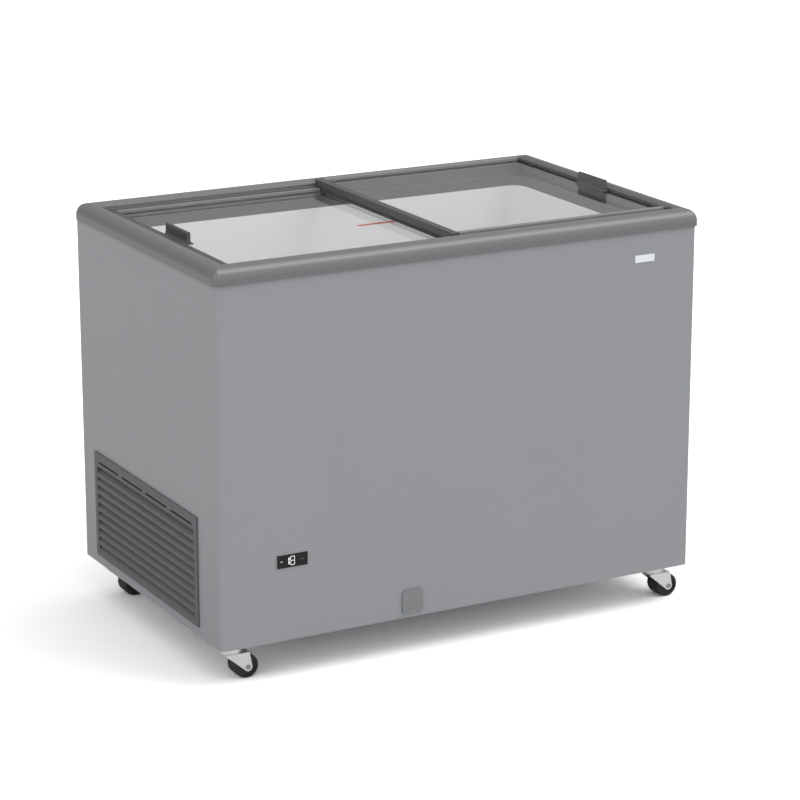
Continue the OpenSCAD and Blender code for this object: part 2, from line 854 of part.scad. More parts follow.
module display_housing() {
    color("#2c2d2f") difference() {
        union() {
            display_block(0, -half_d - bezel_t, -half_d);
            display_block(bezel_w + near, -half_d, -half_d + box_d);
        }
        // Hollow for the board, open at the front behind the window
        display_block(bezel_w + near + box_t, -half_d - bezel_t - cut, -half_d + box_d - box_t);
        // Seat of the window
        display_block(1, -half_d - bezel_t - cut, -half_d - bezel_t + window_t);
    }
}

module display_window() {
    color("#363738") display_block(1, -half_d - bezel_t, -half_d - bezel_t + window_t);
}

// A bar of the display: its lowest and highest corners seen from the front
module lit_bar(low, high) {
    y = -half_d - bezel_t - digit_t;
    block([display_mid_x + digit_x + low[0], y, display_mid_z + low[1]],
        [display_mid_x + digit_x + high[0], y + digit_t, display_mid_z + high[1]]);
}

// One seven-segment numeral, from its crossbars and its left and right uprights
module numeral(x, crossbars, left, right) {
    s = segment_t;
    w = digit_w;
    h = digit_h / 2;
    for (k = crossbars) lit_bar([x + s, k * (h - s / 2) - s / 2], [x + w - s, k * (h - s / 2) + s / 2]);
    for (k = left) lit_bar([x, k > 0 ? s / 2 : -h + s], [x + s, k > 0 ? h - s : -s / 2]);
    for (k = right) lit_bar([x + w - s, k > 0 ? s / 2 : -h + s], [x + w, k > 0 ? h - s : -s / 2]);
}

module display_digits() {
    color("#f2f4f6") {
        numeral(-digit_w, [], [], [-1, 1]);
        numeral(3, [-1, 0, 1], [-1, 1], [-1, 1]);
        // Minus sign
        lit_bar([-digit_w - 10, -0.8], [-digit_w - 6, 0.8]);
    }
}

module controller_board() {
    w = display_w / 2 - bezel_w - box_t - 2;
    h = display_h / 2 - bezel_w - box_t - 2;
    y = -half_d + box_d - box_t - 8;
    color("#2f6b3f") {
        block([display_mid_x - w, y, display_mid_z - h], [display_mid_x + w, y + 1.6, display_mid_z + h]);
        // Standoffs to the back of the box, and the numerals' block in front
        for (x = [-w + 4, w - 4]) translate([display_mid_x + x, y + 1.6, display_mid_z])
            rotate([-90, 0, 0]) cylinder(h = 6.4, r = 2);
        block([display_mid_x - 14, y - 7, display_mid_z - h + 1],
            [display_mid_x + 14, y, display_mid_z + h - 1]);
    }
}

module cord_gland() {
    color("#1c1c1c") translate([gland_x, half_d + 3.5, gland_z]) rotate([90, 0, 0]) difference() {
        union() {
            cylinder(h = 3.5, r = gland_r);
            cylinder(h = 3.5 + skin_t + 8, r = gland_r - 3 - fit);
        }
        translate([0, 0, -cut]) cylinder(h = 20, r = 4);
    }
}

// Lids: a lid is [side, reach, half depth, frame's lower face, frame's height, top of the
// glass, runner width, rear end of the handle]; its side is +1 for the upper lid at the right,
// -1 for the lower lid
upper = [1, upper_x, upper_y, upper_z, upper_h, upper_glass_z, upper_runner_w,
    handle_l / 2 - upper_handle_y];
lower = [-1, lower_x, lower_y, lower_z, lower_h, lower_glass_z, lower_runner_w, handle_l / 2];

// A block of a lid between two distances from the middle, counted towards the lid's own end
module lid_block(lid, near_x, far_x, y0, y1, z0, z1) {
    x0 = lid[0] > 0 ? near_x : -far_x;
    x1 = lid[0] > 0 ? far_x : -near_x;
    block([x0, y0, z0], [x1, y1, z1]);
}

// The pane, let into slots of the bars and the runners
module pane(lid) {
    y = lid[2] - lid[6] + glass_seat;
    lid_block(lid, -meet_over + meet_w - glass_seat, lid[1] - end_w + glass_seat,
        -y, y, lid[5] - glass_t, lid[5]);
}

module inner_bar(lid) {
    difference() {
        lid_block(lid, -meet_over, -meet_over + meet_w, -lid[2], lid[2], lid[3], lid[3] + lid[4]);
        pane(lid);
    }
}

module outer_bar(lid) {
    difference() {
        lid_block(lid, lid[1] - end_w, lid[1], -lid[2], lid[2], lid[3], lid[3] + lid[4]);
        pane(lid);
    }
}

module runners(lid) {
    difference() {
        for (y = [-lid[2], lid[2] - lid[6]])
            lid_block(lid, -meet_over + meet_w, lid[1] - end_w, y, y + lid[6], lid[3], lid[3] + lid[4]);
        pane(lid);
    }
}

// A finger fin on a flared foot, standing on the glass against the outer end bar
module handle(lid) {
    flare = (foot_w - fin_t) / 2;
    translate([lid[0] * (lid[1] - end_w - foot_w / 2), lid[7], lid[5]]) rotate([90, 0, 0])
        linear_extrude(handle_l) difference() {
            union() {
                translate([-foot_w / 2, 0]) square([foot_w, 2 + flare]);
                translate([-fin_t / 2, 0]) square([fin_t, handle_h - fin_t / 2]);
                translate([0, handle_h - fin_t / 2]) circle(fin_t / 2);
            }
            for (s = [-1, 1]) translate([s * foot_w / 2, 2 + flare]) circle(flare);
        }
}

module upper_glass() color("#aeb8ba", 0.35) pane(upper);
module upper_runners() color("#5c5c5e") runners(upper);
module upper_inner_bar() color("#4c4c4c") inner_bar(upper);
module upper_outer_bar() color("#4c4c4c") outer_bar(upper);
module upper_handle() color("#484848") handle(upper);
module lower_glass() color("#aeb8ba", 0.35) pane(lower);
module lower_runners() color("#5c5c5e") runners(lower);
module lower_inner_bar() color("#4c4c4c") inner_bar(lower);
module lower_outer_bar() color("#4c4c4c") outer_bar(lower);
module lower_handle() color("#484848") handle(lower);

// Brush strips close the step between the lids
module upper_seal() {
    color("#2a2a2a") block([-meet_over + 0.5, -lower_y + lower_runner_w + 2, lower_glass_z + 0.4],
        [-meet_over + 0.5 + seal_t, lower_y - lower_runner_w - 2, upper_z]);
}

module lower_seal() {
    y = upper_y - upper_runner_w - 8;
    color("#2a2a2a") block([meet_over - 0.5 - seal_t, -y, lower_z + lower_h],
        [meet_over - 0.5, y, upper_glass_z - glass_t - 0.4]);
}

// Castors

// Top plate with the upper ball race and the king pin
module castor_plate() {
    race_z = crown_top + near;
    pin_z = crown_z - 2.5 - near;
    difference() {
        union() {
            block([-plate_w / 2, -plate_d / 2, z_low - plate_t], [plate_w / 2, plate_d / 2, z_low]);
            translate([0, 0, race_z]) cylinder(h = z_low - plate_t - race_z + cut, r = race_r - 2);
            translate([0, 0, pin_z]) cylinder(h = z_low - plate_t - pin_z, r = pin_r);
            translate([0, 0, pin_z - 3]) cylinder(h = 3, r = pin_head_r);
        }
        for (x = [-1, 1], y = [-1, 1])
            translate([x * (plate_w / 2 - bolt_in), y * (plate_d / 2 - bolt_in), z_low - plate_t - cut])
            cylinder(h = plate_t + 2 * cut, r = bolt_r + fit);
    }
}

module castor_plates() {
    color("#a9acae") for (x = castor_xs, y = castor_ys) translate([x, y, 0]) castor_plate();
}

module castor_bolts() {
    color("#8e9194") for (p = bolt_places()) translate([p[0], p[1], 0]) {
        translate([0, 0, z_low - plate_t - 4]) cylinder(h = 4, r = nut_r, $fn = 6);
        translate([0, 0, z_low - plate_t - 4]) cylinder(h = plate_t + 4 + base_t + nut_h, r = bolt_r);
        translate([0, 0, z_low + base_t]) cylinder(h = nut_h - 1, r = nut_r, $fn = 6);
    }
}

// Where a line from point p touches the tip circle of a fork leg, on the given side
function tip_touch(p, side) = let (c = [trail, wheel_r], d = p - c,
    a = atan2(d[1], d[0]) + side * acos(leg_tip_r / norm(d)))
    c + leg_tip_r * [cos(a), sin(a)];

// The two legs taper from the crown to the axle
module fork() {
    left = [-leg_back, crown_z];
    right = [leg_front, crown_z];
    difference() {
        union() {
            for (y = [-leg_in, leg_in + fork_t]) translate([0, y, 0]) rotate([90, 0, 0])
                linear_extrude(fork_t) {
                    polygon([left, tip_touch(left, 1), [trail, wheel_r], tip_touch(right, -1), right]);
                    translate([trail, wheel_r]) circle(leg_tip_r);
                }
            block([-leg_back, -leg_in - fork_t, crown_z - 2.5], [leg_front, leg_in + fork_t, crown_z]);
            translate([0, 0, crown_z - cut]) cylinder(h = crown_top - crown_z + cut, r = race_r + 2);
        }
        translate([0, 0, crown_z - 2.5 - cut]) cylinder(h = 20, r = pin_r + fit);
        translate([trail, leg_in + fork_t + cut, wheel_r]) rotate([90, 0, 0])
            cylinder(h = 2 * (leg_in + fork_t + cut), r = axle_r + fit);
    }
}

module axle() {
    l = leg_in + fork_t;
    translate([trail, l + near, wheel_r]) rotate([90, 0, 0]) cylinder(h = 2 * (l + near), r = axle_r);
    for (y = [-l, l + 2]) translate([trail, y, wheel_r]) rotate([90, 0, 0])
        cylinder(h = 2, r = axle_r + 1.6);
}

// A roller with rounded shoulders, a recessed web and a bored hub
module wheel() {
    shoulder = 4;
    h = wheel_w / 2;
    translate([trail, 0, wheel_r]) rotate([90, 0, 0]) difference() {
        rotate_extrude() {
            translate([0, -h]) square([wheel_r - shoulder, wheel_w]);
            translate([0, -h + shoulder]) square([wheel_r, wheel_w - 2 * shoulder]);
            for (s = [-1, 1]) intersection() {
                translate([wheel_r - shoulder, s * (h - shoulder)]) circle(shoulder);
                translate([0, -h]) square([wheel_r, wheel_w]);
            }
        }
        translate([0, 0, -h - cut]) cylinder(h = wheel_w + 2 * cut, r = axle_r + fit);
        for (s = [-1, 1]) translate([0, 0, s > 0 ? h - 2.5 : -h - cut]) difference() {
            cylinder(h = 2.5 + cut, r = wheel_r - shoulder - 1.5);
            translate([0, 0, -cut]) cylinder(h = 6, r = axle_r + 4);
        }
    }
}

module at_castor(ix, iy) translate([castor_xs[ix], castor_ys[iy], 0]) children();

module fork_front_left() color("#c0c0c0") at_castor(0, 0) fork();
module fork_front_right() color("#c0c0c0") at_castor(1, 0) fork();
module fork_rear_left() color("#c0c0c0") at_castor(0, 1) fork();
module fork_rear_right() color("#c0c0c0") at_castor(1, 1) fork();
module axle_front_left() color("#9a9a9a") at_castor(0, 0) axle();
module axle_front_right() color("#9a9a9a") at_castor(1, 0) axle();
module axle_rear_left() color("#9a9a9a") at_castor(0, 1) axle();
module axle_rear_right() color("#9a9a9a") at_castor(1, 1) axle();
module wheel_front_left() color("#1f1f1f") at_castor(0, 0) wheel();
module wheel_front_right() color("#1f1f1f") at_castor(1, 0) wheel();
module wheel_rear_left() color("#1f1f1f") at_castor(0, 1) wheel();
module wheel_rear_right() color("#1f1f1f") at_castor(1, 1) wheel();

outer_shell();
rear_panel();
base_pan();
foam();
liner();
collar();
top_frame();
bay_housing();
side_grille();
compressor();
compressor_grommets();
start_relay();
condenser();
fan_shroud();
fan_motor();
fan_blade();
discharge_tube();
suction_tube();
filter_drier();
capillary_tube();
evaporator_coil();
temperature_probe();
drain_plug();
drain_pipe();
drain_cap();
display_housing();
display_window();
display_digits();
controller_board();
badge_plate();
load_line();
cord_gland();
upper_glass();
upper_runners();
upper_inner_bar();
upper_outer_bar();
upper_handle();
upper_seal();
lower_glass();
lower_runners();
lower_inner_bar();
lower_outer_bar();
lower_handle();
lower_seal();
castor_plates();
castor_bolts();
fork_front_left();
fork_front_right();
fork_rear_left();
fork_rear_right();
axle_front_left();
axle_front_right();
axle_rear_left();
axle_rear_right();
wheel_front_left();
wheel_front_right();
wheel_rear_left();
wheel_rear_right();
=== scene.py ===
"""Chest freezer with two sliding glass lids: its finishes, its modelled pieces, stage and camera.

Sizes are in metres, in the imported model's frame: +X is the right end, -Y the front, +Z up.
"""

import logging
import math
from collections.abc import Callable, Iterator
from contextlib import contextmanager
from dataclasses import dataclass, field
from enum import Enum

import bmesh
import bpy
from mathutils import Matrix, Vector


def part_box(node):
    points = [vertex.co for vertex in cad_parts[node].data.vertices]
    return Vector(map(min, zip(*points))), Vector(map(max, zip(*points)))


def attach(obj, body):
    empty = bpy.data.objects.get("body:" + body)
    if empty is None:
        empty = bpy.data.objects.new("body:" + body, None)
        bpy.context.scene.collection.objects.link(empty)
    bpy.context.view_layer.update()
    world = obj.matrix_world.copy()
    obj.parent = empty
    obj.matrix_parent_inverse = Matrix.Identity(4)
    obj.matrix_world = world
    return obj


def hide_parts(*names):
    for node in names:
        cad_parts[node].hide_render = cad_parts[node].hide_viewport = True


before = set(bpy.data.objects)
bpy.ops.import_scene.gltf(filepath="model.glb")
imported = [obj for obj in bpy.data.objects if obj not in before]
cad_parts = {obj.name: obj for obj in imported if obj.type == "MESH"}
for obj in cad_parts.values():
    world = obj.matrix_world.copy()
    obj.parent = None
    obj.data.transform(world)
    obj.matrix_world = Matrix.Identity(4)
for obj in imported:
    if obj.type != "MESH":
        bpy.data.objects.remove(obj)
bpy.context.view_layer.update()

MM = 0.001
LOG = logging.getLogger("chest_freezer")
Piece = bpy.types.Object
Point = tuple[float, float, float]
Tree = bpy.types.NodeTree
Socket = bpy.types.NodeSocket
# Elements closer than this lie together
NEAR = 0.01 * MM
# A normal with more than this share along an axis points along it
ALONG = 0.99
# An edge with more than this share along an axis runs along it
STRAIGHT = 0.999
# How far solids that are joined reach into each other
LAP = 1 * MM
# How far a cutter reaches past the face that it opens
PAST = 1 * MM


class Axis(Enum):
    """A coordinate axis, by its place in a vector."""

    X = 0
    Y = 1
    Z = 2

    @property
    def vector(self) -> Vector:
        """The axis as a unit vector."""
        return Vector([1.0 if place == self.value else 0.0 for place in range(3)])


class Part(Enum):
    """What an operator in edit mode acts on."""

    VERTS = "VERT"
    EDGES = "EDGE"
    FACES = "FACE"


# Modelling


def activate(piece: Piece) -> None:
    """Selects one piece and nothing else."""
    bpy.ops.object.select_all(action="DESELECT")
    piece.select_set(True)
    bpy.context.view_layer.objects.active = piece


def settle(piece: Piece, name: str) -> Piece:
    """Names a new piece and bakes its place into its mesh.

    Args:
        piece: The piece, which may be moved, turned or scaled as an object.
        name: Its name, also of its mesh.

    Returns:
        The same piece, with its object at the origin.
    """
    activate(piece)
    bpy.ops.object.transform_apply(location=True, rotation=True, scale=True)
    piece.name = name
    piece.data.name = name
    return piece


def add_box(name: str, low: Point, high: Point) -> Piece:
    """Adds a box between two corners.

    Args:
        name: The piece's name.
        low: The corner with the lowest coordinates.
        high: The corner with the highest ones.

    Returns:
        The new piece.
    """
    bpy.ops.object.select_all(action="DESELECT")
    middle = (Vector(low) + Vector(high)) / 2
    bpy.ops.mesh.primitive_cube_add(size=1, location=middle)
    piece = bpy.context.object
    piece.scale = Vector(high) - Vector(low)
    return settle(piece, name)


def add_rod(name: str, middle: Point, axis: Axis, radius: float, length: float, sides: int = 48) -> Piece:
    """Adds a cylinder.

    Args:
        name: The piece's name.
        middle: The middle of the cylinder.
        axis: The axis that it lies along.
        radius: Its radius.
        length: Its length.
        sides: The number of its sides.

    Returns:
        The new piece.
    """
    bpy.ops.object.select_all(action="DESELECT")
    bpy.ops.mesh.primitive_cylinder_add(vertices=sides, radius=radius, depth=length, location=middle)
    piece = bpy.context.object
    piece.rotation_mode = "QUATERNION"
    piece.rotation_quaternion = axis.vector.to_track_quat("Z", "Y")
    return settle(piece, name)


def shift(piece: Piece, move: Point) -> None:
    """Moves a piece by a vector."""
    piece.location = move
    settle(piece, piece.name)


def copy_of(piece: Piece, name: str, move: Point) -> Piece:
    """Copies a piece with a mesh of its own.

    Args:
        piece: The piece to copy.
        name: The copy's name.
        move: How far the copy lies from the piece.

    Returns:
        The copy.
    """
    activate(piece)
    bpy.ops.object.duplicate(linked=False)
    twin = bpy.context.object
    twin.location = move
    return settle(twin, name)


@contextmanager
def editing(piece: Piece) -> Iterator[None]:
    """Holds one piece in edit mode, with nothing selected at first."""
    activate(piece)
    bpy.ops.object.mode_set(mode="EDIT")
    bpy.ops.mesh.select_all(action="DESELECT")
    yield
    bpy.ops.object.mode_set(mode="OBJECT")


def pick(piece: Piece, part: Part, test: Callable[[object], bool]) -> None:
    """Selects, in edit mode, the elements that pass a test.

    Args:
        piece: The piece in edit mode.
        part: Whether vertices, edges or faces are tested.
        test: Takes one element and says whether it is selected.
    """
    bpy.ops.mesh.select_all(action="DESELECT")
    bpy.ops.mesh.select_mode(type=part.value)
    mesh = bmesh.from_edit_mesh(piece.data)
    mesh.normal_update()
    elements = {Part.VERTS: mesh.verts, Part.EDGES: mesh.edges, Part.FACES: mesh.faces}[part]
    for element in [each for each in elements if test(each)]:
        element.select_set(True)
    mesh.select_flush_mode()
    bmesh.update_edit_mesh(piece.data)


def pick_end(piece: Piece, axis: Axis, sign: int) -> None:
    """Selects, in edit mode, the flat faces at the far end of a piece.

    Args:
        piece: The piece in edit mode.
        axis: The axis that points to the end.
        sign: +1 for the end with the highest coordinate, -1 for the lowest.
    """
    mesh = bmesh.from_edit_mesh(piece.data)
    place = axis.value
    reach = max(sign * vert.co[place] for vert in mesh.verts)
    pick(piece, Part.FACES, lambda face: all(sign * v.co[place] > reach - NEAR for v in face.verts))


def runs_along(axis: Axis, where: Callable[[Vector], bool] = lambda middle: True) -> Callable[[object], bool]:
    """Makes a test for edges along an axis.

    Args:
        axis: The axis.
        where: A further test of the edge's middle.

    Returns:
        The test of one edge.
    """

    def test(edge: bmesh.types.BMEdge) -> bool:
        """Says whether the edge runs along the axis, at the right place."""
        start, end = (vert.co for vert in edge.verts)
        return abs((end - start).normalized()[axis.value]) > STRAIGHT and where((start + end) / 2)

    return test


def bevel(offset: float, segments: int = 4) -> None:
    """Rounds the edges that are selected in edit mode."""
    bpy.ops.mesh.bevel(offset=offset, segments=segments, affect="EDGES", clamp_overlap=False)


def round_edges(piece: Piece, axis: Axis, radius: float, segments: int = 4,
                where: Callable[[Vector], bool] = lambda middle: True) -> None:
    """Rounds the edges of a piece that run along an axis.

    Args:
        piece: The piece, in object mode.
        axis: The axis.
        radius: The edges' radius.
        segments: How many faces make a rounded edge.
        where: A further test of the edge's middle.
    """
    with editing(piece):
        pick(piece, Part.EDGES, runs_along(axis, where))
        bevel(radius, segments)


def inset(thickness: float, depth: float = 0.0) -> None:
    """Insets the faces that are selected in edit mode, and raises them by a depth."""
    bpy.ops.mesh.inset(thickness=thickness, depth=depth, use_even_offset=True)


def extrude(move: Point) -> None:
    """Extrudes the faces that are selected in edit mode by a vector."""
    bpy.ops.mesh.extrude_region_move(TRANSFORM_OT_translate={"value": move})


def merge(distance: float = 0.05 * MM) -> None:
    """Merges the vertices that are selected in edit mode and lie together."""
    bpy.ops.mesh.remove_doubles(threshold=distance)


def modify(piece: Piece, kind: str, **settings: object) -> None:
    """Adds one modifier to a piece and applies it.

    Args:
        piece: The piece.
        kind: The modifier's type.
        settings: Its properties.
    """
    activate(piece)
    bpy.ops.object.modifier_add(type=kind)
    modifier = piece.modifiers[-1]
    for key, value in settings.items():
        setattr(modifier, key, value)
    bpy.ops.object.modifier_apply(modifier=modifier.name)


def soften(piece: Piece, radius: float, segments: int = 3, angle: float = 35.0) -> None:
    """Rounds the sharp edges of a piece.

    Args:
        piece: The piece.
        radius: The edges' radius.
        segments: How many faces make a rounded edge.
        angle: The least angle of an edge that is rounded, in degrees.
    """
    modify(piece, "BEVEL", width=radius, segments=segments, limit_method="ANGLE",
           angle_limit=math.radians(angle), use_clamp_overlap=True)


def combine(piece: Piece, operation: str, others: list[Piece]) -> Piece:
    """Joins other solids to a piece or takes them out of it, and removes them.

    Args:
        piece: The piece to change.
        operation: UNION or DIFFERENCE.
        others: The other solids.

    Returns:
        The same piece.
    """
    for other in others:
        modify(piece, "BOOLEAN", operation=operation, object=other, solver="EXACT")
        bpy.data.objects.remove(other)
    return piece


def join(piece: Piece, others: list[Piece]) -> Piece:
    """Makes one object of several pieces that stand apart or face to face.

    Args:
        piece: The piece that keeps its name.
        others: The pieces that go into it.

    Returns:
        The joined piece.
    """
    activate(piece)
    for other in others:
        other.select_set(True)
    bpy.ops.object.join()
    return piece


def smooth(piece: Piece, angle: float = 30.0) -> None:
    """Shades a piece smooth, but for edges over an angle in degrees, and keeps its flat faces flat."""
    activate(piece)
    bpy.ops.object.shade_smooth_by_angle(angle=math.radians(angle))
    modify(piece, "WEIGHTED_NORMAL", mode="FACE_AREA", weight=100, keep_sharp=True)


# Finishes


def linear(colour: str, level: float = 1.0) -> tuple[float, float, float, float]:
    """Turns an sRGB hex colour to linear light.

    Args:
        colour: The colour, such as "#8a8c8e".
        level: A factor on its brightness.

    Returns:
        Red, green, blue and alpha.
    """
    shares = [int(colour[at:at + 2], 16) / 255 for at in (1, 3, 5)]
    light = [c / 12.92 if c <= 0.04045 else ((c + 0.055) / 1.055) ** 2.4 for c in shares]
    return (*[min(1.0, c * level) for c in light], 1.0)


def add_node(tree: Tree, kind: str, inputs: dict | None = None, **settings: object) -> bpy.types.Node:
    """Adds one node with its settings and links.

    Args:
        tree: The node tree.
        kind: The node's type.
        inputs: What each input gets, by name or number: a value, or the socket that it is linked to.
        settings: The node's own properties.

    Returns:
        The new node.
    """
    node = tree.nodes.new(kind)
    for key, value in settings.items():
        setattr(node, key, value)
    for key, value in (inputs or {}).items():
        if isinstance(value, Socket):
            tree.links.new(value, node.inputs[key])
        else:
            node.inputs[key].default_value = value
    return node


def per_metre(feature: float) -> float:
    """The scale of a texture whose features are this many metres wide."""
    return 1.0 / feature


@dataclass(frozen=True)
class Finish:
    """A material and its surface. Its pattern sizes are in metres.

    Attributes:
        name: The material's name.
        colour: Its colour as sRGB hex.
        roughness: How matt it is, from 0 to 1.
    """

    name: str
    colour: str
    roughness: float

    def material(self) -> bpy.types.Material:
        """Makes the material, once. Where the frame has a material of this name, that one stands for it."""
        made = bpy.data.materials.get(self.name)
        if made:
            return made
        made = bpy.data.materials.new(self.name)
        made.use_nodes = True
        made.node_tree.nodes.clear()
        made.diffuse_color = linear(self.colour)
        shader = self.shader(made.node_tree)
        add_node(made.node_tree, "ShaderNodeOutputMaterial", {"Surface": shader})
        return made

    def shader(self, tree: Tree) -> Socket:
        """Makes the surface's nodes.

        Args:
            tree: The material's node tree.

        Returns:
            The shader's output.
        """
        raise NotImplementedError

    def place(self, tree: Tree) -> Socket:
        """The place on the piece, in metres."""
        return add_node(tree, "ShaderNodeTexCoord").outputs["Object"]

    def tone(self, tree: Tree, mask: Socket, spread: float) -> Socket:
        """The colour, a little darker where the mask is 0 and lighter where it is 1."""
        darker, lighter = (linear(self.colour, 1 + side * spread) for side in (-1, 1))
        mixed = add_node(tree, "ShaderNodeMix", {0: mask, 6: darker, 7: lighter}, data_type="RGBA")
        return mixed.outputs[2]

    def rough(self, tree: Tree, mask: Socket, spread: float) -> Socket:
        """The roughness, a little lower where the mask is 0 and higher where it is 1."""
        ranged = add_node(tree, "ShaderNodeMapRange", {
            "Value": mask, "To Min": self.roughness - spread, "To Max": self.roughness + spread})
        return ranged.outputs["Result"]


@dataclass(frozen=True)
class PaintedSteel(Finish):
    """Coil-coated sheet: an even satin paint with faint orange peel, and a slow drift in tone.

    Attributes:
        peel: Width of the orange peel's cells; real ones are 2 mm, drawn coarser so that they show.
        drift: Width of the clouds in the tone.
    """

    peel: float = 5 * MM
    drift: float = 240 * MM

    def shader(self, tree: Tree) -> Socket:
        """Makes the paint."""
        place = self.place(tree)
        cloud = add_node(tree, "ShaderNodeTexNoise", {
            "Vector": place, "Scale": per_metre(self.drift), "Detail": 3.0, "Roughness": 0.4}).outputs[0]
        cells = add_node(tree, "ShaderNodeTexNoise", {
            "Vector": place, "Scale": per_metre(self.peel), "Detail": 1.0}).outputs[0]
        bump = add_node(tree, "ShaderNodeBump", {
            "Height": cells, "Strength": 0.12, "Distance": 0.04 * MM}).outputs[0]
        return add_node(tree, "ShaderNodeBsdfPrincipled", {
            "Base Color": self.tone(tree, cloud, 0.025), "Roughness": self.rough(tree, cloud, 0.03),
            "Normal": bump, "IOR": 1.5}).outputs[0]


@dataclass(frozen=True)
class MouldedPlastic(Finish):
    """Injection-moulded or extruded plastic with a fine spark-eroded grain.

    Attributes:
        grain: Width of the grain; real grain is 0.3 mm, drawn coarser so that it shows.
        depth: Height of the grain.
        cloud: Width of the faint clouds that a thick moulding has.
        spread: How far the clouds change the tone.
        index: The index of refraction that sets how much the surface mirrors.
    """

    grain: float = 2 * MM
    depth: float = 0.05 * MM
    cloud: float = 45 * MM
    spread: float = 0.04
    index: float = 1.46

    def shader(self, tree: Tree) -> Socket:
        """Makes the plastic."""
        place = self.place(tree)
        cloud = add_node(tree, "ShaderNodeTexNoise", {
            "Vector": place, "Scale": per_metre(self.cloud), "Detail": 2.0}).outputs[0]
        grain = add_node(tree, "ShaderNodeTexNoise", {
            "Vector": place, "Scale": per_metre(self.grain), "Detail": 2.0, "Roughness": 0.6}).outputs[0]
        bump = add_node(tree, "ShaderNodeBump", {
            "Height": grain, "Strength": 0.25, "Distance": self.depth}).outputs[0]
        return add_node(tree, "ShaderNodeBsdfPrincipled", {
            "Base Color": self.tone(tree, cloud, self.spread), "Roughness": self.rough(tree, grain, 0.05),
            "Normal": bump, "IOR": self.index}).outputs[0]


@dataclass(frozen=True)
class WornMetal(Finish):
    """Bare or plated metal with fine drawing marks along one axis.

    Attributes:
        along: The axis of the drawing marks.
        mark: Width of a mark; real marks are 0.1 mm, drawn coarser so that they show.
        tarnish: Width of the duller clouds.
        spread: How far the clouds change the tone.
    """

    along: Axis = Axis.X
    mark: float = 0.8 * MM
    tarnish: float = 18 * MM
    spread: float = 0.12

    def shader(self, tree: Tree) -> Socket:
        """Makes the metal."""
        place = self.place(tree)
        stretch = [per_metre(self.mark)] * 3
        stretch[self.along.value] = per_metre(40 * self.mark)
        drawn = add_node(tree, "ShaderNodeMapping", {"Vector": place, "Scale": stretch}).outputs[0]
        marks = add_node(tree, "ShaderNodeTexNoise", {
            "Vector": drawn, "Scale": 1.0, "Detail": 2.0}).outputs[0]
        cloud = add_node(tree, "ShaderNodeTexNoise", {
            "Vector": place, "Scale": per_metre(self.tarnish), "Detail": 3.0}).outputs[0]
        bump = add_node(tree, "ShaderNodeBump", {
            "Height": marks, "Strength": 0.2, "Distance": 0.03 * MM}).outputs[0]
        return add_node(tree, "ShaderNodeBsdfPrincipled", {
            "Base Color": self.tone(tree, cloud, self.spread), "Roughness": self.rough(tree, cloud, 0.08),
            "Metallic": 1.0, "Normal": bump}).outputs[0]


@dataclass(frozen=True)
class GalvanisedSheet(Finish):
    """Hot-dip galvanised sheet: zinc crystals, each with its own grey and gloss.

    Attributes:
        spangle: Width of a crystal.
    """

    spangle: float = 9 * MM

    def shader(self, tree: Tree) -> Socket:
        """Makes the spangled zinc."""
        place = self.place(tree)
        crystals = add_node(tree, "ShaderNodeTexVoronoi", {
            "Vector": place, "Scale": per_metre(self.spangle), "Randomness": 1.0})
        shade = add_node(tree, "ShaderNodeSeparateColor", {"Color": crystals.outputs["Color"]}).outputs[0]
        return add_node(tree, "ShaderNodeBsdfPrincipled", {
            "Base Color": self.tone(tree, shade, 0.18), "Roughness": self.rough(tree, shade, 0.1),
            "Metallic": 1.0}).outputs[0]


@dataclass(frozen=True)
class Rubber(Finish):
    """Moulded rubber or worn hard plastic: very matt, with a powdery bloom.

    Attributes:
        bloom: Width of the bloom's specks.
    """

    bloom: float = 3 * MM

    def shader(self, tree: Tree) -> Socket:
        """Makes the rubber."""
        place = self.place(tree)
        specks = add_node(tree, "ShaderNodeTexNoise", {
            "Vector": place, "Scale": per_metre(self.bloom), "Detail": 4.0, "Roughness": 0.7}).outputs[0]
        bump = add_node(tree, "ShaderNodeBump", {
            "Height": specks, "Strength": 0.3, "Distance": 0.1 * MM}).outputs[0]
        return add_node(tree, "ShaderNodeBsdfPrincipled", {
            "Base Color": self.tone(tree, specks, 0.25), "Roughness": self.rough(tree, specks, 0.08),
            "Normal": bump, "IOR": 1.45}).outputs[0]


@dataclass(frozen=True)
class BrushPile(Finish):
    """A strip of upright nylon pile.

    Attributes:
        bristle: Pitch of the bristles; real ones are 0.2 mm, drawn coarser so that they show.
    """

    bristle: float = 1.2 * MM

    def shader(self, tree: Tree) -> Socket:
        """Makes the pile."""
        place = self.place(tree)
        stretch = (per_metre(self.bristle), per_metre(self.bristle), per_metre(30 * self.bristle))
        upright = add_node(tree, "ShaderNodeMapping", {"Vector": place, "Scale": stretch}).outputs[0]
        pile = add_node(tree, "ShaderNodeTexNoise", {
            "Vector": upright, "Scale": 1.0, "Detail": 1.0}).outputs[0]
        bump = add_node(tree, "ShaderNodeBump", {
            "Height": pile, "Strength": 0.8, "Distance": 0.5 * MM}).outputs[0]
        return add_node(tree, "ShaderNodeBsdfPrincipled", {
            "Base Color": self.tone(tree, pile, 0.5), "Roughness": self.roughness,
            "Normal": bump}).outputs[0]


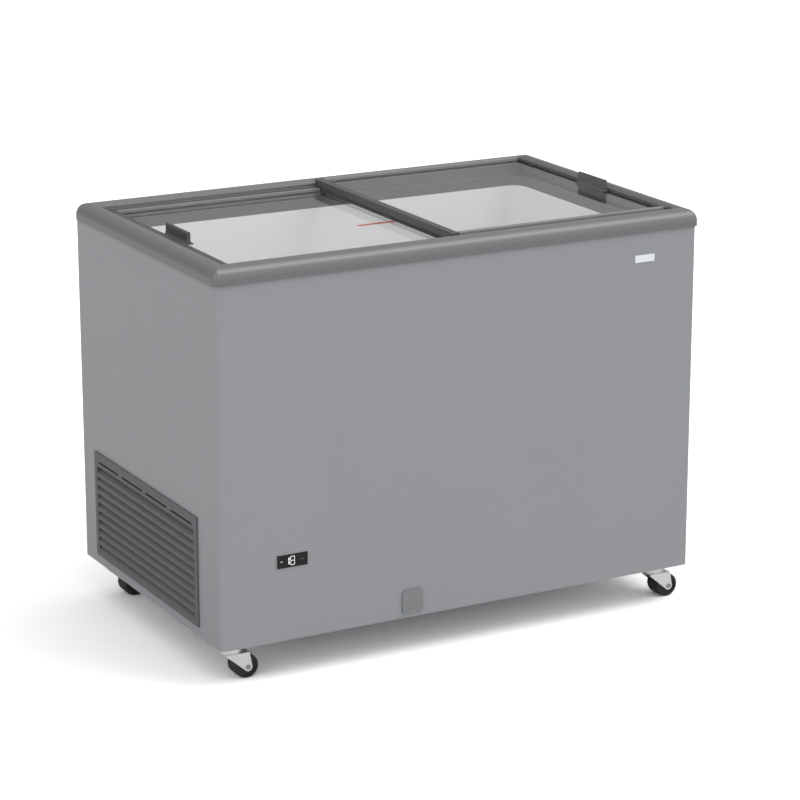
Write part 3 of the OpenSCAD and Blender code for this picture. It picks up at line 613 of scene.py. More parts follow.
@dataclass(frozen=True)
class RigidFoam(Finish):
    """Blown polyurethane foam: a cut face of fine cells.

    Attributes:
        cell: Width of a cell, drawn coarser than the real 0.5 mm so that it shows.
    """

    cell: float = 3 * MM

    def shader(self, tree: Tree) -> Socket:
        """Makes the foam."""
        place = self.place(tree)
        cells = add_node(tree, "ShaderNodeTexVoronoi", {
            "Vector": place, "Scale": per_metre(self.cell)}).outputs["Distance"]
        bump = add_node(tree, "ShaderNodeBump", {
            "Height": cells, "Strength": 0.6, "Distance": 1 * MM}).outputs[0]
        return add_node(tree, "ShaderNodeBsdfPrincipled", {
            "Base Color": self.tone(tree, cells, 0.15), "Roughness": self.roughness,
            "Normal": bump}).outputs[0]


@dataclass(frozen=True)
class FloatGlass(Finish):
    """Clear tempered float glass: nearly invisible head on, with a clean mirror image at a low angle.

    Attributes:
        tint: What is left of the light that goes through, as sRGB hex.
        index: The index of refraction that sets how much the surface mirrors.
        dust: Width of the clouds in the film of dust.
    """

    tint: str = "#fefefe"
    index: float = 1.19
    dust: float = 160 * MM

    def shader(self, tree: Tree) -> Socket:
        """Makes the glass: clear, mirrored by Fresnel's law, with a film of dust that hardly shows."""
        place = self.place(tree)
        film = add_node(tree, "ShaderNodeTexNoise", {
            "Vector": place, "Scale": per_metre(self.dust), "Detail": 4.0}).outputs[0]
        gloss = self.rough(tree, film, 0.01)
        clear = add_node(tree, "ShaderNodeBsdfTransparent", {"Color": linear(self.tint)}).outputs[0]
        mirror = add_node(tree, "ShaderNodeBsdfGlossy", {
            "Color": linear(self.colour), "Roughness": gloss}).outputs[0]
        edge = add_node(tree, "ShaderNodeFresnel", {"IOR": self.index}).outputs[0]
        inside = add_node(tree, "ShaderNodeNewGeometry").outputs["Backfacing"]
        outside = add_node(tree, "ShaderNodeMath", {0: 1.0, 1: inside}, operation="SUBTRACT").outputs[0]
        share = add_node(tree, "ShaderNodeMath", {0: edge, 1: outside}, operation="MULTIPLY").outputs[0]
        return add_node(tree, "ShaderNodeMixShader", {0: share, 1: clear, 2: mirror}).outputs[0]


@dataclass(frozen=True)
class SmokedPanel(Finish):
    """Smoked polycarbonate over a dark board: glossy, with faint moulding ripples.

    Attributes:
        ripple: Width of the ripples.
    """

    ripple: float = 14 * MM

    def shader(self, tree: Tree) -> Socket:
        """Makes the panel."""
        place = self.place(tree)
        ripples = add_node(tree, "ShaderNodeTexNoise", {
            "Vector": place, "Scale": per_metre(self.ripple), "Detail": 1.0}).outputs[0]
        bump = add_node(tree, "ShaderNodeBump", {
            "Height": ripples, "Strength": 0.1, "Distance": 0.1 * MM}).outputs[0]
        return add_node(tree, "ShaderNodeBsdfPrincipled", {
            "Base Color": self.tone(tree, ripples, 0.1), "Roughness": self.roughness, "Normal": bump,
            "IOR": 1.35}).outputs[0]


@dataclass(frozen=True)
class LitSegment(Finish):
    """A lit segment of a display: a faint glow through a grained diffuser.

    Attributes:
        glow: Strength of the light.
        grain: Width of the diffuser's grain.
    """

    glow: float = 0.15
    grain: float = 1.5 * MM

    def shader(self, tree: Tree) -> Socket:
        """Makes the glow."""
        place = self.place(tree)
        grain = add_node(tree, "ShaderNodeTexNoise", {
            "Vector": place, "Scale": per_metre(self.grain), "Detail": 1.0}).outputs[0]
        return add_node(tree, "ShaderNodeBsdfPrincipled", {
            "Base Color": self.tone(tree, grain, 0.03), "Roughness": self.roughness,
            "Emission Color": self.tone(tree, grain, 0.05), "Emission Strength": self.glow}).outputs[0]


@dataclass(frozen=True)
class CircuitBoard(Finish):
    """Glass-fibre board under green solder mask, with copper tracks that show as paler lines.

    Attributes:
        track: Pitch of the tracks.
    """

    track: float = 4 * MM

    def shader(self, tree: Tree) -> Socket:
        """Makes the board."""
        place = self.place(tree)
        upright = add_node(tree, "ShaderNodeMapping", {
            "Vector": place, "Rotation": (math.pi / 2, 0, 0)}).outputs[0]
        tracks = add_node(tree, "ShaderNodeTexBrick", {
            "Vector": upright, "Scale": per_metre(self.track) / 4, "Mortar Size": 0.04}).outputs["Fac"]
        return add_node(tree, "ShaderNodeBsdfPrincipled", {
            "Base Color": self.tone(tree, tracks, 0.35), "Roughness": self.roughness}).outputs[0]


# The cabinet: pre-painted steel sheet in a satin cool grey
GREY_PAINT = PaintedSteel("satin_grey_paint", "#8e9093", 0.45)
# Black enamel on the compressor's shell; the frame's own material of this name is worn instead
BLACK_ENAMEL = PaintedSteel("black_enamel", "#1c1d1f", 0.25, peel=4 * MM, drift=60 * MM)
# The top frame: moulded ABS under clear lacquer, darker than the paint and glossier
FRAME_ABS = MouldedPlastic("frame_abs", "#5e6062", 0.38, grain=3 * MM, depth=0.03 * MM, spread=0.02,
                           index=1.8)
# The collar under the frame: matt polystyrene
COLLAR_PLASTIC = MouldedPlastic("collar_polystyrene", "#646467", 0.5)
# The liner: vacuum-formed white sheet, smooth and slightly glossy
LINER_WHITE = MouldedPlastic("liner_white_sheet", "#f4f4f4", 0.35, grain=6 * MM, depth=0.02 * MM,
                             cloud=120 * MM, spread=0.015)
# The grille: matt polypropylene
GRILLE_PLASTIC = MouldedPlastic("grille_polypropylene", "#595a5d", 0.55)
# Lid bars, runners and handles: matt extrusions and mouldings, the runners paler
BAR_PVC = MouldedPlastic("bar_pvc", "#4b4b4d", 0.5)
RUNNER_PVC = MouldedPlastic("runner_pvc", "#7e7e81", 0.45)
HANDLE_ABS = MouldedPlastic("handle_abs", "#545456", 0.45)
# The drain cap: matt grey moulding
CAP_PLASTIC = MouldedPlastic("cap_polypropylene", "#7c7e80", 0.5)
# The display's bezel: grey ABS, a shade lighter than the paint
BEZEL_ABS = MouldedPlastic("bezel_abs", "#98999b", 0.4)
# The fan, its motor and the cord bush: black polypropylene
BLACK_PLASTIC = MouldedPlastic("fan_polypropylene", "#232425", 0.5)
# The relay's cover and the drain pipe: off-white polypropylene
PALE_PLASTIC = MouldedPlastic("pale_polypropylene", "#d6d5cf", 0.5)
# Castor wheels: hard black polypropylene, a little greyed by use
WHEEL_BLACK = Rubber("wheel_polypropylene", "#262627", 0.6)
# The grommets and the drain plug: black rubber
BLACK_RUBBER = Rubber("black_rubber", "#303031", 0.75)
# The seals between the lids
SEAL_PILE = BrushPile("brush_pile", "#39393a", 0.9)
# The insulation: cream polyurethane
INSULATION = RigidFoam("polyurethane_foam", "#e6dcb2", 0.85)
# Base, bay and shroud sheets: hot-dip galvanised steel
GALVANISED = GalvanisedSheet("galvanised_sheet", "#b4b7ba", 0.42)
# Castor forks: bright zinc plating, slightly milky
ZINC_PLATE = WornMetal("bright_zinc_plate", "#e2e3e4", 0.45, along=Axis.Z, spread=0.06)
# Castor plates, axles, bolts and the rear screws: zinc with a darker chromate
DARK_ZINC = WornMetal("dark_zinc_plate", "#9b9ea0", 0.42, spread=0.15)
# Refrigerant tubes, evaporator and drier: drawn copper, browned by brazing
COPPER = WornMetal("drawn_copper", "#b8734a", 0.35, tarnish=25 * MM, spread=0.3)
# The condenser and the temperature probe
ALUMINIUM = WornMetal("rolled_aluminium", "#c4c7c9", 0.35, along=Axis.Z, spread=0.08)
# The blank badge: satin and nearly white
BADGE_WHITE = MouldedPlastic("badge_plate", "#dfe5e9", 0.35, grain=2 * MM, depth=0.01 * MM, spread=0.02)
# The load line: a matt red print
LOAD_LINE_RED = MouldedPlastic("load_line_print", "#d65a47", 0.5, grain=3 * MM, depth=0.01 * MM)
# The lids' panes
LID_GLASS = FloatGlass("float_glass", "#ffffff", 0.02)
# The lower pane's bare end is capped with a clear polycarbonate strip
CLEAR_STRIP = FloatGlass("clear_polycarbonate", "#ffffff", 0.15, tint="#e9ebea")
# The display's window and its lit numerals
DISPLAY_WINDOW = SmokedPanel("smoked_polycarbonate", "#18181a", 0.3)
LIT_DIGIT = LitSegment("lit_segment", "#f2f4f6", 0.4)
# An unlit symbol of the display
DIM_SYMBOL = MouldedPlastic("unlit_symbol", "#5b5c5e", 0.4)
# The display's board; the frame's own material of this name is worn instead
BOARD_GREEN = CircuitBoard("circuit_board", "#2f6b3f", 0.35)


def dress(piece: Piece, finish: Finish) -> None:
    """Gives every material slot of a piece one finish.

    Args:
        piece: A new piece or a CAD node.
        finish: The finish.
    """
    if not piece.material_slots:
        piece.data.materials.append(None)
    for slot in piece.material_slots:
        slot.material = finish.material()


def dress_node(node: str, finish: Finish) -> None:
    """Gives a carried-over CAD node its finish."""
    dress(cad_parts[node], finish)
    LOG.info("node %s: %s", node, finish.name)


def place_piece(piece: Piece, finish: Finish, body: str, slot: str, *nodes: str) -> None:
    """Finishes a new piece: shading, material, the body that it rides on and what it stands for.

    Args:
        piece: The piece.
        finish: Its finish.
        body: The CAD body that it moves with.
        slot: The record's material slot; not used.
        nodes: The CAD nodes that it replaces.
    """
    dress(piece, finish)
    smooth(piece)
    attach(piece, body)
    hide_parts(*nodes)
    LOG.info("piece %s: %d faces, on %s, for %s", piece.name, len(piece.data.polygons), body, nodes)


def corners_of(node: str) -> tuple[Vector, Vector]:
    """The lowest and the highest corner of a CAD node's box."""
    low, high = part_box(node)
    return Vector(low), Vector(high)


def middle_of(node: str) -> Vector:
    """The middle of a CAD node's box."""
    low, high = corners_of(node)
    return (low + high) / 2


# Sub-assemblies


@dataclass
class Cabinet:
    """The steel box, its insulation and what is fixed to its outside.

    Attributes:
        screw_radius: Radius of a pan-head screw on the rear panel.
        screw_height: Height of its head.
        screw_margin: Distance of the screws from the panel's edges.
        screw_rows: How many screws stand in each upright row.
        screw_rim: Width and height of the step at a head's edge.
        recess: Half length, half width and depth of the cross recess.
        badge_corner: Radius of the badge's corners.
        badge_rim: Width and depth of the step inside the badge's rim.
        flange: Thickness of the gland's flange.
        barrel: Radius of its barrel.
        bore: Radius of its bore.
        gland_edge: Radius of its edges.
    """

    screw_radius: float = 4 * MM
    screw_height: float = 2 * MM
    screw_margin: float = 14 * MM
    screw_rows: int = 5
    screw_rim: tuple[float, float] = (0.8 * MM, 0.3 * MM)
    recess: Point = (2.2 * MM, 0.4 * MM, 0.8 * MM)
    badge_corner: float = 1 * MM
    badge_rim: tuple[float, float] = (0.6 * MM, 0.15 * MM)
    flange: float = 3.5 * MM
    barrel: float = 9.95 * MM
    bore: float = 4 * MM
    gland_edge: float = 0.8 * MM

    def build(self) -> None:
        """Builds and dresses the cabinet."""
        dress_node("outer_shell", GREY_PAINT)
        dress_node("rear_panel", GREY_PAINT)
        dress_node("base_pan", GALVANISED)
        dress_node("foam", INSULATION)
        dress_node("evaporator_coil", COPPER)
        dress_node("temperature_probe", ALUMINIUM)
        self.build_badge()
        self.build_screws()
        self.build_gland()

    def build_badge(self) -> None:
        """Builds the blank badge plate, with rounded corners and a raised rim."""
        low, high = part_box("badge_plate")
        badge = add_box("badge", low, high)
        with editing(badge):
            pick(badge, Part.EDGES, runs_along(Axis.Y))
            bevel(self.badge_corner)
            pick_end(badge, Axis.Y, -1)
            width, depth = self.badge_rim
            inset(width, -depth)
        place_piece(badge, BADGE_WHITE, "cabinet", "badge", "badge_plate")

    def build_screws(self) -> None:
        """Builds the pan-head screws of the rear panel, each with a cross recess."""
        low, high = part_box("rear_panel")
        face = high[1]
        # The lowest row stands one margin above the panel's foot, the highest two below its top
        span = high[2] - low[2] - 3 * self.screw_margin
        screws = []
        for column in (low[0] + self.screw_margin, high[0] - self.screw_margin):
            for row in range(self.screw_rows):
                share = row / (self.screw_rows - 1)
                height = low[2] + self.screw_margin + share * span
                screws.append(self.build_screw((column, face, height)))
        rows = join(screws[0], screws[1:])
        rows.name = "rear_screws"
        place_piece(rows, DARK_ZINC, "cabinet", "zinc")

    def build_screw(self, foot: Point) -> Piece:
        """Builds one screw head.

        Args:
            foot: Where the head's middle meets the panel.

        Returns:
            The head.
        """
        x, y, z = foot
        middle = (x, y + self.screw_height / 2, z)
        head = add_rod("screw", middle, Axis.Y, self.screw_radius, self.screw_height, 20)
        with editing(head):
            pick_end(head, Axis.Y, 1)
            width, rise = self.screw_rim
            inset(width)
            extrude((0, rise, 0))
        arm, half, depth = self.recess
        top = y + self.screw_height + PAST
        bottom = y + self.screw_height - depth
        slots = [add_box("slot", (x - arm, bottom, z - half), (x + arm, top, z + half)),
                 add_box("slot", (x - half, bottom, z - arm), (x + half, top, z + arm))]
        return combine(head, "DIFFERENCE", slots)

    def build_gland(self) -> None:
        """Builds the cord gland: a flanged bush with a soft-edged bore."""
        low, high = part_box("cord_gland")
        x, _, z = middle_of("cord_gland")
        radius = (high[0] - low[0]) / 2
        flange = add_rod("cord_bush", (x, high[1] - self.flange / 2, z), Axis.Y, radius, self.flange)
        body = add_rod("barrel", (x, (low[1] + high[1] - self.flange) / 2, z), Axis.Y, self.barrel,
                       high[1] - self.flange - low[1])
        hole = add_rod("hole", (x, (low[1] + high[1]) / 2, z), Axis.Y, self.bore, 3 * (high[1] - low[1]))
        combine(flange, "UNION", [body])
        combine(flange, "DIFFERENCE", [hole])
        soften(flange, self.gland_edge)
        place_piece(flange, BLACK_PLASTIC, "cabinet", "black_plastic", "cord_gland")


@dataclass
class TopFrame:
    """The thick moulded ring round the top, with its rounded nose and its two tracks.

    Distances run inward from the frame's outer face, heights upward from its underside.

    Attributes:
        corner: Radius of the outer corners seen from above.
        face: Height of the upright outer face.
        nose: Radius of the nose.
        crest: Width of the flat crest.
        slope: Width of the band that falls to the inner edge.
        fall: How far it falls.
        high_track: Height and width of the upper track.
        low_track: Height and width of the lower track.
        lip: Radius, about, of the inner edge.
        arc_steps: How many steps draw the nose.
        arc_gap: The least angle between two points of the nose, in radians.
    """

    corner: float = 12 * MM
    face: float = 9 * MM
    nose: float = 24 * MM
    crest: float = 3 * MM
    slope: float = 11 * MM
    fall: float = 7 * MM
    high_track: tuple[float, float] = (21.5 * MM, 10 * MM)
    low_track: tuple[float, float] = (3.5 * MM, 11 * MM)
    lip: float = 1.5 * MM
    arc_steps: int = 14
    arc_gap: float = 0.03

    def nose_angles(self) -> list[float]:
        """The angles of the nose's points, with one where the outer corner's arc ends."""
        even = [math.pi / 2 * step / self.arc_steps for step in range(1, self.arc_steps + 1)]
        corner_end = math.acos(1 - self.corner / self.nose)
        return sorted([*[a for a in even if abs(a - corner_end) > self.arc_gap], corner_end])

    def profile(self) -> list[tuple[float, float]]:
        """The section from the top of the outer face to the lowest track, as (inward, up) points."""
        points = [(self.nose * (1 - math.cos(a)), self.face + self.nose * math.sin(a))
                  for a in self.nose_angles()]
        top = self.face + self.nose
        reach = self.nose + self.crest
        edge = reach + self.slope
        brink = top - self.fall
        # The last three points draw the lip, from the slope to the inner wall
        points += [(reach, top), (edge - self.lip, brink + 0.4 * MM),
                   (edge - 0.4 * MM, brink - 0.3 * MM), (edge, brink - self.lip)]
        for height, width in (self.high_track, self.low_track):
            points += [(edge, height), (edge + width, height)]
            edge += width
        return [*points, (edge, 0.0)]

    def build(self) -> None:
        """Builds the ring from a box: its top is inset step by step along the section."""
        low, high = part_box("top_frame")
        base = low[2]
        ring = add_box("moulded_top_frame", low, (high[0], high[1], base + self.face))
        round_edges(ring, Axis.Z, self.corner, 8)
        inward, up = 0.0, self.face
        for next_inward, next_up in self.profile():
            self.step(ring, 1, (inward, next_inward), next_up - up)
            inward, up = next_inward, next_up
        self.step(ring, -1, (0.0, self.corner), 0.0)
        self.step(ring, -1, (self.corner, inward), 0.0)
        self.open_middle(ring, base)
        place_piece(ring, FRAME_ABS, "cabinet", "frame_plastic", "top_frame")

    def step(self, ring: Piece, side: int, inward: tuple[float, float], up: float) -> None:
        """Takes the middle face one step further along the section.

        Args:
            ring: The frame so far.
            side: +1 for the face above, -1 for the one below.
            inward: How far in it lies before and after the step.
            up: How far it rises.
        """
        start, end = inward
        tiny = 0.001 * MM
        with editing(ring):
            self.pick_middle(ring, side)
            if end - start < tiny:
                extrude((0, 0, up))
                return
            inset(end - start, up)
            if abs(end - self.corner) < tiny:
                merge(1 * MM)

    def pick_middle(self, ring: Piece, side: int) -> None:
        """Selects the large face that closes the ring's opening, above or below."""
        mesh = bmesh.from_edit_mesh(ring.data)
        mesh.normal_update()
        level = [face for face in mesh.faces if face.normal.z * side > ALONG]
        middle = max(level, key=lambda face: face.calc_area())
        place = middle.calc_center_median().copy()
        least = 0.999 * middle.calc_area()
        pick(ring, Part.FACES, lambda face: face.calc_area() > least and face.normal.z * side > ALONG
             and (face.calc_center_median() - place).length < MM)

    def open_middle(self, ring: Piece, base: float) -> None:
        """Deletes the two middle faces, which meet at the underside, and closes the seam."""
        for side in (1, -1):
            with editing(ring):
                self.pick_middle(ring, side)
                bpy.ops.mesh.delete(type="FACE")
        with editing(ring):
            pick(ring, Part.VERTS, lambda vert: abs(vert.co.z - base) < NEAR)
            merge()


@dataclass
class StorageWell:
    """The white tank, its collar, the red load line and the drain plug.

    Attributes:
        wall: Thickness of the liner.
        corner: Radius of its upright corners.
        floor_round: Radius along its floor.
        step_x: Where the deep part begins, from the middle.
        step_height: Height of the shelf over the machine bay above the floor of the room.
        drain_radius: Radius of the hole in the floor.
        plug_stem: Radius and length of the plug's stem.
        plug_flange: Thickness of its flange.
        plug_edge: Radius of its edges.
        tab: Half length and half thickness of its tab.
        tab_corner: Radius of the tab's upper corners.
    """

    wall: float = 1.5 * MM
    corner: float = 30 * MM
    floor_round: float = 14 * MM
    step_x: float = -228.2 * MM
    step_height: float = 368.5 * MM
    drain_radius: float = 10.3 * MM
    plug_stem: tuple[float, float] = (9.7 * MM, 8 * MM)
    plug_flange: float = 4 * MM
    plug_edge: float = 0.7 * MM
    tab: tuple[float, float] = (9 * MM, 1.5 * MM)
    tab_corner: float = 4 * MM

    def build(self) -> None:
        """Builds the well and dresses what goes with it."""
        self.build_liner()
        self.build_plug()
        dress_node("collar", COLLAR_PLASTIC)
        dress_node("load_line", LOAD_LINE_RED)
        dress_node("drain_pipe", PALE_PLASTIC)

    def build_liner(self) -> None:
        """Builds the liner: its hollow is shaped first, then gets its wall outside."""
        low, high = corners_of("liner")
        inside_low = low + Vector((self.wall, self.wall, self.wall))
        inside_high = Vector((high.x - self.wall, high.y - self.wall, high.z))
        liner = add_box("white_liner", (inside_low.x, inside_low.y, self.step_height), inside_high)
        side = inside_high.y
        with editing(liner):
            bpy.ops.mesh.select_all(action="SELECT")
            bpy.ops.mesh.bisect(plane_co=(self.step_x, 0, 0), plane_no=(1, 0, 0))
            pick(liner, Part.FACES, lambda face: face.normal.z < -ALONG
                 and face.calc_center_median().x > self.step_x)
            extrude((0, 0, inside_low.z - self.step_height))
            pick(liner, Part.EDGES, runs_along(Axis.Z, lambda at: abs(at.x) > inside_high.x - MM
                                               or at.z < self.step_height - MM))
            bevel(self.corner, 8)
            pick(liner, Part.FACES, lambda face: face.normal.z < -ALONG
                 and face.calc_center_median().z < inside_low.z + MM)
            bpy.ops.mesh.region_to_loop()
            bevel(self.floor_round, 5)
            pick(liner, Part.FACES, lambda face: face.normal.z > ALONG
                 and face.calc_center_median().z > high.z - MM)
            bpy.ops.mesh.delete(type="FACE")
        modify(liner, "SOLIDIFY", thickness=self.wall, offset=1.0, use_even_offset=True)
        plug = middle_of("drain_plug")
        hole = add_rod("drain_hole", (plug.x, plug.y, low.z), Axis.Z, self.drain_radius, 20 * MM, 32)
        combine(liner, "DIFFERENCE", [hole])
        place_piece(liner, LINER_WHITE, "cabinet", "liner_white", "liner")

    def build_plug(self) -> None:
        """Builds the rubber drain plug: a stem, a flange and a finger tab."""
        low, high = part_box("drain_plug")
        x, y, _ = middle_of("drain_plug")
        radius = (high[0] - low[0]) / 2
        stem_r, stem_l = self.plug_stem
        half_l, half_t = self.tab
        flange_t = self.plug_flange
        flange_z = low[2] + stem_l
        flange = add_rod("rubber_drain_plug", (x, y, flange_z + flange_t / 2), Axis.Z, radius, flange_t)
        stem = add_rod("stem", (x, y, flange_z - stem_l / 2 + LAP / 2), Axis.Z, stem_r, stem_l + LAP)
        tab = add_box("tab", (x - half_l, y - half_t, flange_z + 3 * MM), (x + half_l, y + half_t, high[2]))
        round_edges(tab, Axis.Y, self.tab_corner, 5, lambda at: at.z > high[2] - MM)
        combine(flange, "UNION", [stem, tab])
        soften(flange, self.plug_edge)
        place_piece(flange, BLACK_RUBBER, "plug", "rubber", "drain_plug")


@dataclass
class DrainCap:
    """The rounded cap over the drain's mouth, low on the front.

    Attributes:
        plate: Thickness of the cap's plate.
        corner: Radius of its corners.
        stem: Radius of the stem in the pipe.
        groove: Height and depth of the finger groove.
        groove_at: Height of the groove above the cap's foot.
        groove_end: Distance of its ends from the cap's sides.
        groove_corner: Radius of its ends.
        rim: Width of the cap's rim.
        field: Width and depth of the step inside the rim.
        edge: Radius of the plate's edges.
        stem_edge: Radius of the stem's edges.
    """

    plate: float = 3 * MM
    corner: float = 7 * MM
    stem: float = 9.7 * MM
    groove: tuple[float, float] = (2.6 * MM, 1.3 * MM)
    groove_at: float = 7 * MM
    groove_end: float = 8 * MM
    groove_corner: float = 1.2 * MM
    rim: float = 1.2 * MM
    field: tuple[float, float] = (0.8 * MM, 0.3 * MM)
    edge: float = 0.6 * MM
    stem_edge: float = 0.8 * MM

    def build(self) -> None:
        """Builds the cap."""
        low, high = corners_of("drain_cap")
        back = low.y + self.plate
        middle = (low + high) / 2
        cap = add_box("grey_drain_cap", low, (high.x, back, high.z))
        with editing(cap):
            pick(cap, Part.EDGES, runs_along(Axis.Y))
            bevel(self.corner, 6)
            pick_end(cap, Axis.Y, -1)
            inset(self.rim)
            width, sink = self.field
            inset(width, -sink)
        reach = high.x - middle.x - self.groove_end
        height, depth = self.groove
        foot = low.z + self.groove_at
        groove = add_box("groove", (middle.x - reach, low.y - PAST, foot),
                         (middle.x + reach, low.y + depth, foot + height))
        round_edges(groove, Axis.Y, self.groove_corner, 3)
        combine(cap, "DIFFERENCE", [groove])
        soften(cap, self.edge)
        stem_l = high.y - back
        stem_at = (middle.x, back + stem_l / 2 - LAP / 2, middle.z)
        stem = add_rod("stem", stem_at, Axis.Y, self.stem, stem_l + LAP)
        soften(stem, self.stem_edge)
        combine(cap, "UNION", [stem])
        place_piece(cap, CAP_PLASTIC, "cap", "cap_plastic", "drain_cap")


@dataclass
class MachineBay:
    """The machine bay behind the grille, and the grille.

    Attributes:
        proud: How far the grille's cover stands out of the panel.
        lip: Width of the cover's rim over the panel.
        border: Width of the borders beside the louvres.
        foot: Width of the band under the louvres.
        slots: How many louvre slots there are.
        pitch: Their pitch.
        slot: The height of a slot at the front.
        lean: How far the blades lean from the level, in degrees.
        thin_slots: How many thin slots stand in the top band.
        thin_above: Height of the thin slots above the louvres.
        thin_high: Height of a thin slot.
        thin_end: Half the gap between two thin slots.
        thin_corner: Radius of its corners.
        corner: Radius of the cover's corners.
        clearance: How much further in than the lip the sleeve behind the cover begins.
        blade_round: Radius of a blade's edges.
        blade_back: How far the blades stand behind the cover's face.
        edge: Radius of the cover's edges.
        finishes: What each node of the machinery wears.
    """

    proud: float = 3 * MM
    lip: float = 9 * MM
    border: float = 13 * MM
    foot: float = 9 * MM
    slots: int = 10
    pitch: float = 17.5 * MM
    slot: float = 10 * MM
    lean: float = 42.0
    thin_slots: int = 4
    thin_above: float = 7.5 * MM
    thin_high: float = 4 * MM
    thin_end: float = 8 * MM
    thin_corner: float = 1.8 * MM
    corner: float = 2 * MM
    clearance: float = 0.3 * MM
    blade_round: float = 0.9 * MM
    blade_back: float = 0.3 * MM
    edge: float = 0.8 * MM
    finishes: dict[str, Finish] = field(default_factory=lambda: {
        "bay_housing": GALVANISED, "compressor": BLACK_ENAMEL, "compressor_grommets": BLACK_RUBBER,
        "start_relay": PALE_PLASTIC, "condenser": ALUMINIUM, "fan_shroud": GALVANISED,
        "fan_motor": BLACK_PLASTIC, "fan_blade": BLACK_PLASTIC, "discharge_tube": COPPER,
        "suction_tube": COPPER, "filter_drier": COPPER, "capillary_tube": COPPER})

    def build(self) -> None:
        """Builds the grille and dresses the machinery."""
        self.build_grille()
        for node, finish in self.finishes.items():
            dress_node(node, finish)

    def build_grille(self) -> None:
        """Builds the cover, opens its field and sets the blades into it."""
        low, high = corners_of("side_grille")
        panel = low.x + self.proud
        cover = add_box("louvred_grille", low, (panel, high.y, high.z))
        round_edges(cover, Axis.X, self.corner, 3)
        inner = self.lip + self.clearance
        sleeve = add_box("sleeve", (panel - LAP, low.y + inner, low.z + inner),
                         (high.x, high.y - inner, high.z - inner))
        combine(cover, "UNION", [sleeve])
        y_low, y_high = low.y + self.border, high.y - self.border
        bottom = low.z + self.foot
        top = bottom + self.slots * self.pitch
        deep = 10 * MM
        cutters = [add_box("field", (low.x - deep, y_low, bottom), (high.x + deep, y_high, top))]
        thin_pitch = (y_high - y_low) / self.thin_slots
        for index in range(self.thin_slots):
            start = y_low + index * thin_pitch + self.thin_end
            end = start + thin_pitch - 2 * self.thin_end
            foot = top + self.thin_above
            slit = add_box("slit", (low.x - deep, start, foot), (high.x + deep, end, foot + self.thin_high))
            round_edges(slit, Axis.X, self.thin_corner, 3)
            cutters.append(slit)
        combine(cover, "DIFFERENCE", cutters)
        soften(cover, self.edge)
        join(cover, self.build_blades(low.x, high.x, y_low, y_high, bottom))
        place_piece(cover, GRILLE_PLASTIC, "cabinet", "grille_plastic", "side_grille")

    def build_blades(self, front: float, back: float, y_low: float, y_high: float,
                     bottom: float) -> list[Piece]:
        """Builds the leaning blades between the borders.

        Args:
            front: Outer face of the cover.
            back: Inner end of its sleeve.
            y_low: End of the field nearer the cabinet's front.
            y_high: End nearer its rear.
            bottom: Lower edge of the field.

        Returns:
            The blades.
        """
        rise = (back - front) * math.tan(math.radians(self.lean))
        half = (self.pitch - self.slot) / 2
        overlap = 0.5 * MM
        first = add_box("blade", (front, y_low - overlap, bottom - half),
                        (back, y_high + overlap, bottom + half))
        with editing(first):
            pick_end(first, Axis.X, 1)
            bpy.ops.transform.translate(value=(0, 0, rise))
        soften(first, self.blade_round)
        shift(first, (self.blade_back, 0, 0))
        copies = [copy_of(first, "blade", (0, 0, index * self.pitch)) for index in range(1, self.slots)]
        return [first, *copies]


